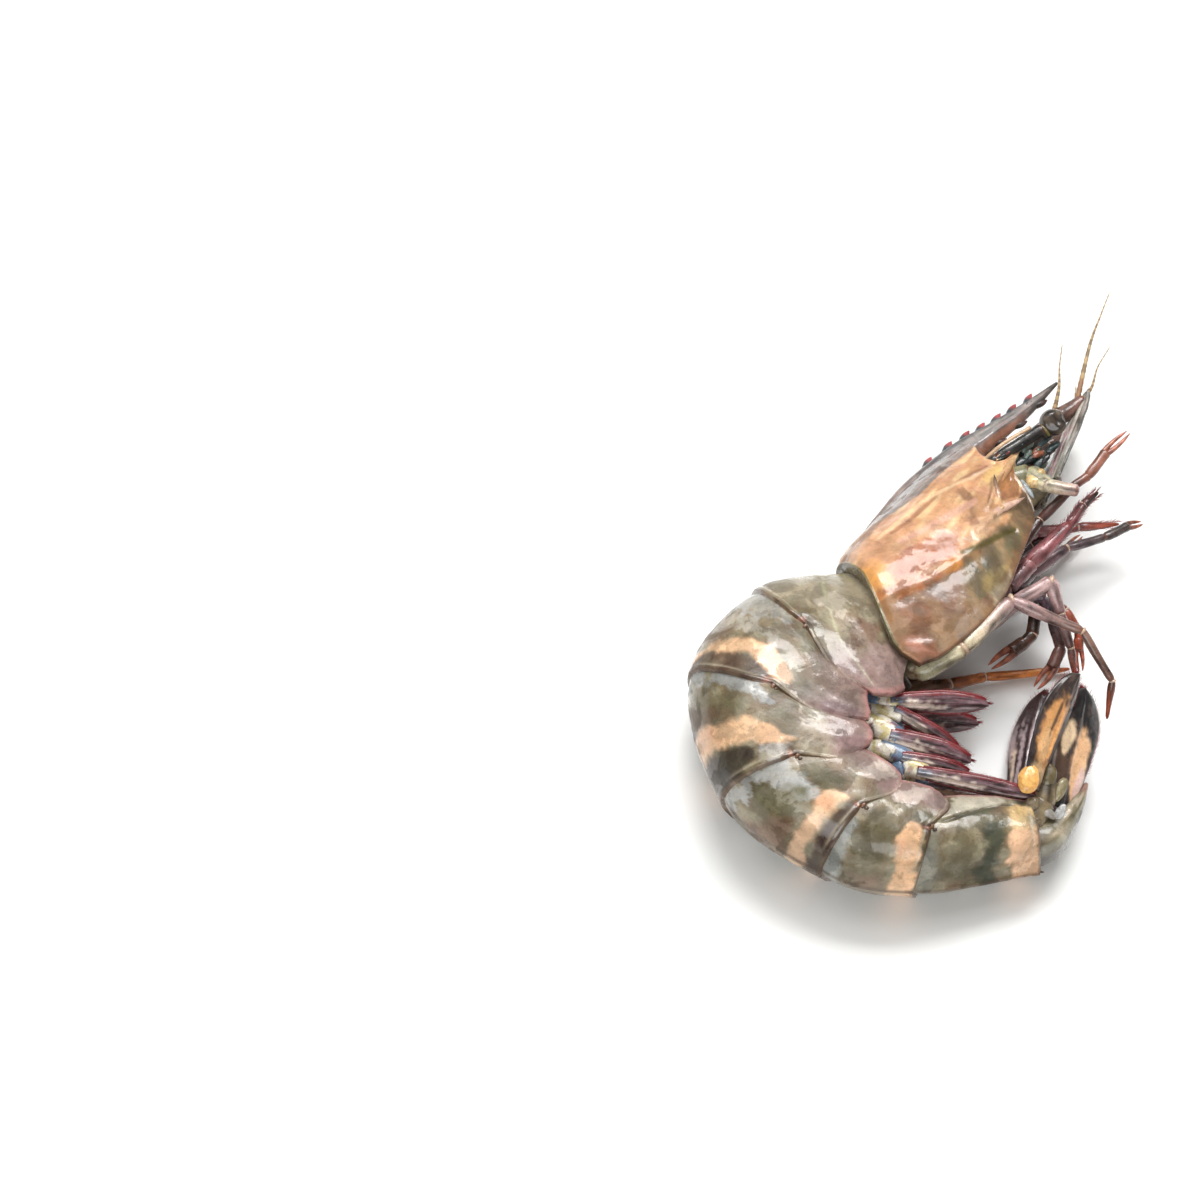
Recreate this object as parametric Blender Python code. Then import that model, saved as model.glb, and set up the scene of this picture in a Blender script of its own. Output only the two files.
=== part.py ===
"""A raw tiger prawn lying on its left side, tail curled round toward its legs, as one solid.

The right flank is on top and the back is on the outside of the curl. Z is up, X runs from
the bend of the tail to the legs, and Y runs from the tail to the head. Sizes are in
millimetres until a mesh is made. A place on the body is given by its back point, its lower
edge and its half width, for a row of stations from front to rear.
"""
import math

import bmesh
import bpy
from mathutils import Vector

MM = 0.001
CENTRE = Vector((4.75, 13.67, 0.0))

# Abdomen: stations 0 to 6 are the front of segment 1 and the rear of each segment
SEGMENTS = 6
ABDOMEN_BACK = [(-19.0, 15.6), (-34.6, 9.4), (-49.3, -12.2), (-42.4, -43.0), (-21.4, -59.8),
                (-1.4, -63.6), (26.2, -57.0)]
ABDOMEN_EDGE = [(-2.4, -19.6), (-11.2, -22.6), (-11.6, -31.0), (-11.2, -37.4), (-2.8, -43.4),
                (6.4, -45.4), (24.6, -44.4)]
ABDOMEN_HALF = [12.8, 14.2, 14.6, 13.8, 12.2, 10.6, 8.4]
ABDOMEN_BOW = [0.0, 1.2, 2.2, 0.3, -1.0, -0.6, 0.0]
ABDOMEN_KEEL = [0.0, 0.0, 0.0, 0.3, 0.8, 1.0, 1.2]
OVERLAP = 0.16
STEP_OUT = 0.35
STEP_IN = 0.75
LOBE = 0.05

# Carapace: stations 0 to 4 from its rear edge to the base of the horn
CARAPACE_BACK = [(-18.8, 13.4), (-11.0, 23.6), (-2.0, 33.6), (6.0, 43.0), (14.0, 51.0)]
CARAPACE_EDGE = [(-0.8, -17.4), (11.5, -8.5), (20.8, 2.2), (27.2, 17.5), (32.4, 31.5)]
CARAPACE_HALF = [13.4, 14.4, 14.2, 12.6, 9.4]
CARAPACE_MIDDLE = [13.4, 14.4, 14.4, 13.8, 13.4]
CARAPACE_KEEL = [0.3, 0.5, 0.9, 1.4, 1.8]
CARAPACE_BOW = [-1.2, 0.0, 0.0, 0.0, -1.0]

# Cross-section of the shell, as shares of its depth and half width
WIDEST = 0.46
SIDE_TURN = 0.55
TUCK_UNDER = 0.24
BELLY = 0.80
PLATE = 1.3
RING_STEPS = 9
KEEL_SPREAD = 0.16

# Horn: centre line, half depth, half thickness
HORN = [((5.0, 40.5, 13.4), 4.0, 2.2), ((16.0, 51.0, 13.6), 4.0, 1.9), ((24.0, 57.6, 14.0), 2.9, 1.6),
        ((32.0, 64.2, 14.5), 1.9, 1.1), ((40.4, 72.3, 15.0), 0.4, 0.35)]
UPPER_TEETH = 7
LOWER_TEETH = 3
TOOTH = 2.2

EYE = Vector((36.8, 53.6, 23.6))
EYE_RADIUS = 3.3
HIDDEN_EYE = Vector((31.0, 58.5, 4.6))

# Limbs: joints as (x, y, z, radius) from the body outward, and how the last joint ends
WALKING_LEGS = {
    "right_5": ([(-2.0, -4.0, 16.0, 3.0), (1.5, -13.3, 19.0, 2.8), (11.4, -9.6, 23.0, 2.1),
                 (22.9, 2.4, 24.5, 1.7), (38.9, -3.7, 21.0, 1.1), (45.8, -11.8, 13.0, 0.95),
                 (45.0, -17.4, 6.0, 0.35)], None),
    "right_4": ([(8.0, 2.0, 14.0, 3.0), (17.5, 1.0, 17.0, 2.6), (24.4, 4.7, 20.0, 1.9),
                 (32.6, 8.8, 22.6, 1.75), (34.8, 2.6, 18.5, 1.25), (37.2, -3.2, 13.5, 1.0),
                 (38.7, -8.1, 7.0, 0.35)], None),
    "right_3": ([(16.0, 10.0, 13.0, 3.0), (25.0, 11.0, 15.0, 2.2), (32.5, 9.8, 15.0, 1.6),
                 (33.6, 4.5, 13.5, 1.3)], ((35.3, -1.9, 11.5), (33.1, -6.3, 10.0), (29.3, -10.4, 8.0), 1.5)),
    "right_2": ([(17.0, 18.0, 13.0, 2.8), (27.7, 24.4, 15.0, 1.6), (32.7, 30.9, 16.0, 1.25),
                 (40.5, 37.7, 20.0, 1.1)], ((44.1, 40.2, 20.5), (48.7, 46.1, 22.0), (54.2, 51.0, 23.2), 1.3)),
    "right_1": ([(16.0, 14.0, 11.0, 2.8), (25.2, 13.2, 13.0, 2.2), (29.7, 18.2, 13.0, 1.9),
                 (38.8, 24.7, 13.5, 1.2)], ((48.2, 28.9, 12.0), (54.0, 32.8, 11.0), (57.6, 34.4, 10.0), 1.2)),
    "left_5": ([(-4.0, -6.0, 11.0, 2.8), (-0.4, -11.6, 8.0, 2.4), (10.4, -7.1, 4.6, 1.5),
                (18.8, -3.8, 2.6, 1.2), (32.8, -1.8, 1.8, 1.0), (38.6, -0.7, 1.2, 0.35)], None),
    "left_4": ([(16.0, 16.0, 9.0, 2.6), (26.2, 25.2, 8.0, 1.4), (31.2, 29.1, 8.5, 1.3),
                (39.9, 33.2, 8.5, 1.0)], None),
    "left_3": ([(12.0, 10.0, 9.0, 2.6), (25.4, 11.9, 10.0, 1.9), (31.2, 10.9, 10.6, 1.6),
                (29.5, 3.4, 9.0, 1.5)], ((27.6, 1.6, 8.6), (24.7, -0.3, 8.0), (19.6, -3.7, 6.5), 1.7)),
    "left_2": ([(16.0, 14.0, 10.0, 2.6), (30.6, 13.3, 12.0, 1.4), (37.1, 7.6, 12.6, 1.2),
                (39.9, 2.9, 11.0, 1.1)], ((39.8, 1.4, 10.2), (39.7, -0.7, 9.0), (40.3, -4.5, 6.0), 1.2)),
    "left_1": ([(16.0, 16.0, 7.0, 2.4), (27.0, 18.0, 5.5, 1.4), (33.0, 24.0, 4.5, 1.1),
                (38.0, 29.5, 3.5, 0.9)], ((39.5, 31.0, 3.2), (42.0, 33.6, 2.8), (44.6, 36.4, 2.2), 1.0)),
}
JAW_LEGS = [
    [(15.0, 10.0, 15.0, 2.6), (24.0, 11.0, 18.0, 2.3), (28.9, 16.5, 19.0, 2.2), (38.6, 26.0, 21.0, 1.4),
     (42.1, 31.5, 21.0, 1.1), (45.9, 35.2, 21.0, 0.35)],
    [(17.0, 20.0, 9.0, 2.4), (27.4, 28.0, 10.0, 1.6), (32.3, 31.4, 10.5, 1.5), (42.4, 32.9, 10.5, 1.2),
     (52.4, 34.8, 9.0, 0.35)],
]

# Head: joints of the stalks and feeler bases, in the same form
EYE_STALKS = [[(17.0, 40.0, 17.0, 1.8), (23.5, 45.6, 20.6, 1.5), (34.5, 52.2, 23.2, 1.7)],
              [(18.0, 42.0, 9.0, 1.8), (24.0, 49.0, 6.6, 1.5), (29.5, 56.6, 5.0, 1.7)]]
FEELER_BASES = [
    [(22.0, 40.0, 17.0, 4.2), (31.5, 41.0, 20.4, 3.2), (34.4, 36.4, 22.0, 2.5), (41.0, 34.4, 23.0, 1.8)],
    [(22.0, 42.0, 9.0, 4.0), (30.0, 43.5, 5.6, 3.0), (36.0, 48.0, 4.6, 2.2), (40.0, 52.5, 3.6, 1.7)],
    [(23.0, 45.0, 15.0, 3.6), (31.0, 52.0, 16.4, 2.7), (38.6, 59.2, 17.6, 2.2), (45.6, 64.6, 18.6, 1.4)],
    [(23.0, 45.0, 11.0, 3.6), (30.5, 51.5, 9.6, 2.7), (37.6, 58.4, 8.0, 2.2), (43.6, 63.8, 7.0, 1.4)],
]
FEELERS = [
    [(43.8, 63.4, 18.4), (47.9, 78.3, 22.0), (51.0, 86.0, 24.0), (53.5, 92.1, 25.0)],
    [(44.6, 63.6, 18.0), (48.4, 70.5, 15.4), (51.0, 78.7, 13.0), (54.9, 86.6, 11.0)],
    [(37.6, 58.6, 18.0), (39.6, 66.0, 20.4), (40.2, 72.2, 21.6), (41.3, 78.3, 22.0)],
    [(42.6, 63.0, 7.2), (46.0, 72.0, 5.0), (52.0, 80.0, 3.0), (59.0, 85.0, 1.4)],
]
FEELER_RADIUS = 0.45
FEELER_STEPS = 6

# One piece of a limb: how far it runs past its joints and where it swells, as shares of its radii
RUN_BACK = 0.4
RUN_PAST = 0.25
SWELL_AT = 0.45
NECK = 0.7
JOINT_WAIST = 0.9
FINGER = 0.6
FINGER_TIP = 0.22
FINGER_ROOM = 0.25

# Antennal scales: base, tip, half widths
SCALES = [((35.6, 39.6, 19.6), (46.4, 66.0, 19.6), 4.4), ((34.6, 42.4, 5.6), (44.6, 65.4, 5.4), 4.4)]
SCALE_SPREAD = (0.45, -0.2, 0.9)
SCALE_THICKNESS = 1.1
SCALE_WAIST = 0.75

# Swimmerets of the right side: joints of the stem, then tip and half width of the blade
SWIMMERETS = [
    ([(-14.0, -16.0, 15.0, 3.0), (-8.7, -19.0, 17.6, 3.0), (-2.6, -20.6, 18.2, 2.2)],
     (16.8, -20.3, 17.0), 2.8),
    ([(-15.0, -20.0, 15.0, 3.0), (-9.4, -21.6, 16.8, 2.8), (-2.0, -24.0, 17.8, 2.0)],
     (9.8, -30.1, 14.0), 1.9),
    ([(-15.0, -25.0, 15.0, 3.2), (-8.8, -26.4, 17.6, 3.2), (-3.2, -30.2, 18.0, 2.4)],
     (12.2, -34.5, 16.0), 2.8),
    ([(-12.0, -31.0, 14.0, 3.0), (-7.0, -32.0, 16.4, 2.8), (-0.8, -35.0, 17.2, 2.0)],
     (11.8, -37.2, 15.0), 2.0),
    ([(-6.0, -38.0, 13.0, 3.0), (-2.6, -36.4, 16.0, 2.6), (2.4, -38.6, 17.0, 1.9)],
     (26.0, -43.1, 15.0), 2.2),
]
BODY_MIDDLE = 13.5
LEFT_STEM_SHIFT = (1.0, 1.5, -1.0)
LEFT_TIP_SHIFT = (-1.0, 2.0, -4.0)
BLADE_SPREAD = (0.2, 0.5, 0.8)
BLADE_ROOT = 1.2

# Tail fan: telson, then each paddle's base, tip, half width and the way it spreads
TELSON = [((22.0, -52.4, 8.6), 5.6, 5.0), ((27.6, -50.6, 8.8), 5.4, 4.4), ((32.0, -46.4, 9.0), 3.6, 3.4),
          ((35.6, -41.4, 9.2), 2.2, 2.2), ((38.2, -36.6, 9.4), 0.5, 0.5)]
PADDLES = [
    ((24.2, -42.4, 17.0), (34.8, -18.0, 25.6), 4.7, (-0.62, 0.24, 0.75)),
    ((32.0, -43.8, 11.2), (39.0, -18.8, 19.6), 6.4, (-0.75, 0.28, 0.60)),
    ((24.4, -41.0, 6.2), (32.4, -9.0, 4.2), 5.2, (-0.90, 0.22, -0.36)),
    ((28.6, -41.0, 5.8), (38.0, -14.6, 4.6), 5.2, (-0.88, 0.24, -0.40)),
]
PADDLE_STEMS = [[(24.0, -48.0, 11.6, 3.6), (27.4, -43.6, 13.6, 2.9), (28.6, -39.6, 15.4, 2.2)],
                [(24.0, -48.0, 6.6, 3.4), (27.0, -43.0, 5.6, 3.2), (28.0, -37.0, 5.4, 2.2)]]
LEAF_THICKNESS = 1.0
LEAF_WAIST = 0.55
LEAF_CAMBER = 0.12
ROUND_FROM = 0.55
BLUNT_TIP = 0.01

SHORTEST_EDGE = 0.003
CUT_REACH = 150.0
CUT_DEPTH = 20.0


def curve_value(values, place):
    """Value at a place along evenly spaced stations, on a smooth curve through them all."""
    last = len(values) - 1
    index = min(max(math.floor(place), 0), last - 1)
    t = place - index
    start = values[index]
    end = values[index + 1]
    before = values[index - 1] if index > 0 else 2 * start - end
    after = values[index + 2] if index + 1 < last else 2 * end - start
    if t < 0:
        return start + t * (end - before) / 2
    if t > 1:
        return end + (t - 1) * (after - start) / 2
    slope_in = (end - before) / 2
    slope_out = (after - start) / 2
    return ((2 * t ** 3 - 3 * t ** 2 + 1) * start + (t ** 3 - 2 * t ** 2 + t) * slope_in
            + (3 * t ** 2 - 2 * t ** 3) * end + (t ** 3 - t ** 2) * slope_out)


def curve_point(points, place):
    """Point on the floor plan at a place along a row of stations."""
    return Vector([curve_value([p[axis] for p in points], place) for axis in range(2)] + [0.0])


def flank(t, depth, half, keel):
    """Depth below the back and half width of the shell, t from the back's middle (0) to the edge (1)."""
    if t < SIDE_TURN:
        angle = t / SIDE_TURN * math.pi / 2
        ridge = keel * max(0.0, 1 - t / KEEL_SPREAD)
        return WIDEST * depth * (1 - math.cos(angle)) - ridge, half * math.sin(angle)
    q = (t - SIDE_TURN) / (1 - SIDE_TURN)
    return depth * (WIDEST + (1 - WIDEST) * q), half * (1 - TUCK_UNDER * q * q)


def section(back, edge, middle, half, keel, bow, swell):
    """Closed ring of the body: round the shell from the left edge to the right one, back along the belly."""
    down = (edge - back).normalized()
    depth = (edge - back).length + swell
    along = Vector((-down.y, down.x, 0.0))
    half = half + swell
    shell = []
    belly = []
    for step in range(-RING_STEPS, RING_STEPS + 1):
        t = abs(step) / RING_STEPS
        side = math.copysign(1.0, step)
        reach, width = flank(t, depth, half, keel)
        lean = along * bow * math.sin(math.pi * min(max(reach / depth, 0.0), 1.0))
        shell.append(back + down * (reach - swell) + lean + Vector((0, 0, middle + side * width)))
        belly_reach, belly_width = flank(max(t, BELLY), depth, half, keel)
        belly_width = (belly_width - PLATE) * min(t / BELLY, 1.0)
        belly.append(back + down * (belly_reach - swell) + lean + Vector((0, 0, middle + side * belly_width)))
    return shell, belly


def solid_from_sections(sections):
    """Closed mesh through sections, its two ends filled by strips from shell to belly."""
    mesh = bmesh.new()
    rings = []
    for shell, belly in sections:
        rings.append([mesh.verts.new(p) for p in shell + belly[::-1]])
    count = len(rings[0])
    for ring, following in zip(rings, rings[1:]):
        for i in range(count):
            j = (i + 1) % count
            mesh.faces.new((ring[i], ring[j], following[j], following[i]))
    for ring in (rings[0], rings[-1]):
        for i in range(count // 2 - 1):
            mesh.faces.new((ring[i], ring[i + 1], ring[count - 2 - i], ring[count - 1 - i]))
    return mesh


def tergite(number):
    """One ring of the abdomen, its front tucked under the ring before it."""
    sections = []
    steps = 4
    for step in range(steps + 1):
        share = step / steps
        place = number - 1 - OVERLAP + (1 + OVERLAP) * share
        inside = max(number - 1 + OVERLAP - place, 0.0) / (2 * OVERLAP)
        swell = STEP_OUT * share - STEP_IN * inside
        back = curve_point(ABDOMEN_BACK, place)
        edge = curve_point(ABDOMEN_EDGE, place)
        lobe = 1 + LOBE * math.sin(math.pi * share)
        edge = back + (edge - back) * lobe
        half = curve_value(ABDOMEN_HALF, place)
        keel = curve_value(ABDOMEN_KEEL, place)
        bow = -curve_value(ABDOMEN_BOW, place)
        sections.append(section(back, edge, half, half, keel, bow, swell))
    return solid_from_sections(sections)


def carapace():
    """The shield over the head and thorax."""
    sections = []
    steps = 9
    last = len(CARAPACE_BACK) - 1
    for step in range(steps + 1):
        place = last * step / steps
        back = curve_point(CARAPACE_BACK, place)
        edge = curve_point(CARAPACE_EDGE, place)
        middle = curve_value(CARAPACE_MIDDLE, place)
        half = curve_value(CARAPACE_HALF, place)
        keel = curve_value(CARAPACE_KEEL, place)
        bow = curve_value(CARAPACE_BOW, place)
        sections.append(section(back, edge, middle, half, keel, bow, 0.0))
    return solid_from_sections(sections)


def space_point(points, place):
    """Point in space at a place along a row of stations."""
    return Vector([curve_value([p[axis] for p in points], place) for axis in range(3)])


def axes_of(direction):
    """Two directions square to a direction, the first level with the floor."""
    level = direction.cross(Vector((0, 0, 1)))
    if level.length < 1e-4:
        level = Vector((1, 0, 0))
    level.normalize()
    return level, level.cross(direction).normalized()


def tapered_bar(stations, sides):
    """Closed bar through stations of (centre, level radius, upright radius, direction)."""
    mesh = bmesh.new()
    rings = []
    for centre, wide, high, direction in stations:
        level, upright = axes_of(direction)
        ring = []
        for side in range(sides):
            angle = 2 * math.pi * (side + 0.5) / sides
            offset = level * wide * math.cos(angle) + upright * high * math.sin(angle)
            ring.append(mesh.verts.new(centre + offset))
        rings.append(ring)
    for ring, following in zip(rings, rings[1:]):
        for i in range(sides):
            j = (i + 1) % sides
            mesh.faces.new((ring[i], ring[j], following[j], following[i]))
    mesh.faces.new(rings[0][::-1])
    mesh.faces.new(rings[-1])
    return mesh


def article(start, end, first, second, sides=6):
    """One jointed piece of a limb, rounded off a little past both joints."""
    start = Vector(start)
    end = Vector(end)
    direction = (end - start).normalized()
    far_end = (end - start).length + RUN_PAST * second
    stations = []
    for distance, radius in ((-RUN_BACK * first, NECK * first), (SWELL_AT * first, first), (far_end, second)):
        stations.append((start + direction * distance, radius, radius, direction))
    return tapered_bar(stations, sides)


def limb(joints, sides=6):
    """The pieces of a limb from joint to joint."""
    pieces = []
    for first, second in zip(joints, joints[1:]):
        pieces.append(article(first[:3], second[:3], first[3], second[3] * JOINT_WAIST, sides))
    return pieces


def pincer(wrist, palm_end, tips, radius):
    """Palm and two slim fingers of a small claw."""
    wrist = Vector(wrist)
    palm_end = Vector(palm_end)
    tips = Vector(tips)
    direction = (tips - palm_end).normalized()
    level, upright = axes_of(direction)
    pieces = [article(wrist, palm_end, radius, radius)]
    for side in (-1, 1):
        root = palm_end - direction * radius + level * side * radius * FINGER_ROOM
        tip = tips + level * side * radius * 2 * FINGER_ROOM
        pieces.append(article(root, tip, radius * FINGER, radius * FINGER_TIP, 5))
    return pieces


def join_lines(mesh, first, second):
    """Faces between two rows of vertices."""
    for i in range(len(first) - 1):
        mesh.faces.new((first[i], first[i + 1], second[i + 1], second[i]))


def leaf(base, tip, half_width, spread, thickness=LEAF_THICKNESS, rows=6, columns=3, waist=LEAF_WAIST):
    """A thin paddle from base to tip, widest past the middle, of even thickness."""
    base = Vector(base)
    tip = Vector(tip)
    axis = (tip - base).normalized()
    across = Vector(spread)
    across = (across - axis * across.dot(axis)).normalized()
    normal = axis.cross(across)
    mesh = bmesh.new()
    layers = []
    rounding = (1 - ROUND_FROM) ** 2 + BLUNT_TIP
    for side in (-1, 1):
        grid = []
        for row in range(rows + 1):
            share = row / rows
            width = half_width * (waist + (1 - waist) * math.sin(math.pi * min(share * 1.3, 1.0) / 2))
            width *= math.sqrt(1 - max(share - ROUND_FROM, 0.0) ** 2 / rounding)
            line = []
            for column in range(columns + 1):
                place = 2 * column / columns - 1
                camber = LEAF_CAMBER * half_width * (1 - place * place)
                lift = normal * (camber + side * thickness / 2)
                line.append(mesh.verts.new(base.lerp(tip, share) + across * width * place + lift))
            grid.append(line)
        layers.append(grid)
    for grid in layers:
        for line, following in zip(grid, grid[1:]):
            join_lines(mesh, line, following)
    under, over = layers
    for row in (0, rows):
        join_lines(mesh, under[row], over[row])
    for column in (0, columns):
        join_lines(mesh, [line[column] for line in under], [line[column] for line in over])
    return mesh


def ball(centre, radius, squash=0.9):
    """A ball, flattened a little from top to bottom."""
    mesh = bmesh.new()
    bmesh.ops.create_icosphere(mesh, subdivisions=2, radius=radius)
    for vertex in mesh.verts:
        vertex.co.z *= squash
        vertex.co += centre
    return mesh


def horn():
    """The toothed horn between the eyes, with its ridge running back over the shield."""
    stations = []
    for index, (centre, deep, thick) in enumerate(HORN):
        ahead = Vector(HORN[min(index + 1, len(HORN) - 1)][0])
        behind = Vector(HORN[max(index - 1, 0)][0])
        stations.append((Vector(centre), deep, thick, (ahead - behind).normalized()))
    pieces = [tapered_bar(stations, 6)]
    line = [centre for centre, _, _ in HORN]
    for count, side, first, last in ((UPPER_TEETH, -1, 0.55, 3.3), (LOWER_TEETH, 1, 2.0, 3.4)):
        for tooth in range(count):
            place = first + (last - first) * tooth / (count - 1)
            centre = space_point(line, place)
            ahead = space_point(line, place + 0.1)
            deep = curve_value([half_depth for _, half_depth, _ in HORN], place)
            direction = (ahead - centre).normalized()
            level = axes_of(direction)[0]
            root = centre + level * side * (deep - TOOTH)
            tip = centre + level * side * (deep + 0.45 * TOOTH) + direction * TOOTH
            slant = (tip - root).normalized()
            pieces.append(tapered_bar([(root, 1.5, 0.9, slant), (tip, 0.2, 0.2, slant)], 4))
    return pieces


def telson():
    """The pointed middle plate of the tail fan."""
    stations = []
    for index, (centre, deep, wide) in enumerate(TELSON):
        ahead = Vector(TELSON[min(index + 1, len(TELSON) - 1)][0])
        behind = Vector(TELSON[max(index - 1, 0)][0])
        stations.append((Vector(centre), deep, wide, (ahead - behind).normalized()))
    return tapered_bar(stations, 8)


def feeler(points):
    """A thin tapering feeler through its points."""
    stations = []
    for step in range(FEELER_STEPS + 1):
        place = (len(points) - 1) * step / FEELER_STEPS
        centre = space_point(points, place)
        ahead = space_point(points, place + 0.1)
        radius = FEELER_RADIUS * (1 - 0.5 * step / FEELER_STEPS)
        stations.append((centre, radius, radius, (ahead - centre).normalized()))
    return tapered_bar(stations, 4)


def swimmeret(stem, tip, half_width, left):
    """Stem and blade of one swimmeret; the left one mirrors the right one under the body's middle."""
    if left:
        dx, dy, dz = LEFT_STEM_SHIFT
        stem = [(x + dx, y + dy, 2 * BODY_MIDDLE - z + dz, r) for x, y, z, r in stem]
        dx, dy, dz = LEFT_TIP_SHIFT
        tip = (tip[0] + dx, tip[1] + dy, 2 * BODY_MIDDLE - tip[2] + dz)
    base = Vector(stem[-1][:3])
    end = Vector(tip)
    pieces = limb(stem, 5)
    base = base - (end - base).normalized() * BLADE_ROOT
    pieces.append(leaf(base, end, half_width, BLADE_SPREAD, LEAF_THICKNESS, 4, 2))
    return pieces


def all_pieces():
    """Every piece that is fused to the carapace."""
    pieces = [tergite(number) for number in range(1, SEGMENTS + 1)]
    pieces += horn()
    pieces.append(telson())
    for name, (joints, claw) in WALKING_LEGS.items():
        if claw:
            joints = joints + [claw[0] + (claw[3] * JOINT_WAIST,)]
        pieces += limb(joints, 6 if name.startswith("right") else 5)
        if claw:
            pieces += pincer(*claw)
    for joints in JAW_LEGS + EYE_STALKS + FEELER_BASES + PADDLE_STEMS:
        pieces += limb(joints)
    pieces += [feeler(points) for points in FEELERS]
    pieces += [ball(EYE, EYE_RADIUS), ball(HIDDEN_EYE, EYE_RADIUS)]
    for base, tip, half_width in SCALES:
        pieces.append(leaf(base, tip, half_width, SCALE_SPREAD, SCALE_THICKNESS, 6, 2, SCALE_WAIST))
    for base, tip, half_width, spread in PADDLES:
        pieces.append(leaf(base, tip, half_width, spread))
    for stem, tip, half_width in SWIMMERETS:
        for left in (False, True):
            pieces += swimmeret(stem, tip, half_width, left)
    return pieces


def to_object(mesh, name, collection):
    """Object in metres from a mesh in millimetres, its box centred over the origin."""
    bmesh.ops.recalc_face_normals(mesh, faces=mesh.faces)
    for vertex in mesh.verts:
        vertex.co = (vertex.co - CENTRE) * MM
    data = bpy.data.meshes.new(name)
    mesh.to_mesh(data)
    mesh.free()
    created = bpy.data.objects.new(name, data)
    collection.objects.link(created)
    return created


def apply_boolean(target, operation, collection):
    """Fuse or cut with all the objects of a collection, then remove them."""
    boolean = target.modifiers.new("Boolean", "BOOLEAN")
    boolean.operation = operation
    boolean.solver = "MANIFOLD"
    boolean.operand_type = "COLLECTION"
    boolean.collection = collection
    evaluated = target.evaluated_get(bpy.context.evaluated_depsgraph_get())
    result = bpy.data.meshes.new_from_object(evaluated)
    target.modifiers.remove(boolean)
    target.data = result
    for used in list(collection.objects):
        bpy.data.objects.remove(used, do_unlink=True)
    bpy.data.collections.remove(collection)


def keep_largest_body(target):
    """Drop loose scraps, and fill sealed hollows by dropping their walls."""
    mesh = bmesh.new()
    mesh.from_mesh(target.data)
    bmesh.ops.dissolve_degenerate(mesh, dist=SHORTEST_EDGE * MM, edges=mesh.edges)
    bmesh.ops.triangulate(mesh, faces=mesh.faces)
    unseen = set(mesh.faces)
    bodies = []
    while unseen:
        stack = [unseen.pop()]
        body = []
        while stack:
            face = stack.pop()
            body.append(face)
            for edge in face.edges:
                for other in edge.link_faces:
                    if other in unseen:
                        unseen.remove(other)
                        stack.append(other)
        bodies.append(body)
    bodies.sort(key=len)
    for body in bodies[:-1]:
        bmesh.ops.delete(mesh, geom=body, context="FACES")
    mesh.to_mesh(target.data)
    mesh.free()


def shell_material():
    """Wet olive-grey shell."""
    material = bpy.data.materials.new("shell")
    material.use_nodes = True
    shader = material.node_tree.nodes["Principled BSDF"]
    shader.inputs["Base Color"].default_value = (0.23, 0.21, 0.15, 1.0)
    shader.inputs["Roughness"].default_value = 0.25
    shader.inputs["Metallic"].default_value = 0.0
    return material


def floor_block():
    """Everything below the floor, to flatten the flank where it rests."""
    mesh = bmesh.new()
    bmesh.ops.create_cube(mesh, size=2.0)
    for vertex in mesh.verts:
        level = Vector((vertex.co.x * CUT_REACH, vertex.co.y * CUT_REACH, 0.0))
        vertex.co = CENTRE + level + Vector((0, 0, (vertex.co.z - 1) * CUT_DEPTH / 2))
    return mesh


def build():
    """Model the prawn as one object."""
    for old in list(bpy.data.objects):
        bpy.data.objects.remove(old, do_unlink=True)
    scene = bpy.context.scene
    prawn = to_object(carapace(), "tiger_prawn", scene.collection)
    fused = bpy.data.collections.new("fused")
    scene.collection.children.link(fused)
    for index, mesh in enumerate(all_pieces()):
        to_object(mesh, f"piece_{index}", fused)
    apply_boolean(prawn, "UNION", fused)
    cut = bpy.data.collections.new("cut")
    scene.collection.children.link(cut)
    to_object(floor_block(), "below_floor", cut)
    apply_boolean(prawn, "DIFFERENCE", cut)
    keep_largest_body(prawn)
    prawn.data.shade_smooth()
    prawn.data.set_sharp_from_angle(angle=math.radians(40))
    prawn.data.materials.clear()
    prawn.data.materials.append(shell_material())


build()
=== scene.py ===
"""Looks of a raw tiger prawn that lies curled on its left side, right flank up."""
import math
import random

import bpy
import numpy as np
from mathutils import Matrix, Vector, noise


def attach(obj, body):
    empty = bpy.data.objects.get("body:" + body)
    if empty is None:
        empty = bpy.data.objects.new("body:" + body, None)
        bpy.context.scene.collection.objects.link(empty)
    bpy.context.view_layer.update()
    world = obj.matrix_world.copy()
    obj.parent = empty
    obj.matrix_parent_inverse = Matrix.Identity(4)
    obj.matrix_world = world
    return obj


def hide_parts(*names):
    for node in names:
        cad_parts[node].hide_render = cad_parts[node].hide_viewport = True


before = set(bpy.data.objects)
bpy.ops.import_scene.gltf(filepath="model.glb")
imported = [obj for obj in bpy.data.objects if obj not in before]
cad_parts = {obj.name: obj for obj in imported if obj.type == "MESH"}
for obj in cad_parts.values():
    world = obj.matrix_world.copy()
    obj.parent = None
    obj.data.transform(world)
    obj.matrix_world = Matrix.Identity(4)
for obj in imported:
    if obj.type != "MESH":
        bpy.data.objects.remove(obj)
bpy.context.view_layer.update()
random.seed(7)

MM = 0.001
CENTRE = np.array([4.75, 13.67, 0.0])
UP = np.array([0, 0, 1.0])

# No point lies lower than this, in metres, so that nothing is in the floor
FLOOR_GAP = 0.00003

# Added to a divisor that could be zero
GUARD, TINY = 1e-9, 1e-12

# Half width of the ragged edge of the water film, in noise values
FILM_EDGE = 0.012

# Camera of the photograph: place in millimetres, tilt from straight down in degrees,
# lens and sensor width in millimetres
CAMERA_PLACE = np.array([-71.391, -392.299, 591.851])
CAMERA_TILT, LENS, SENSOR = 35, 94.0, 36.0

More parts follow.
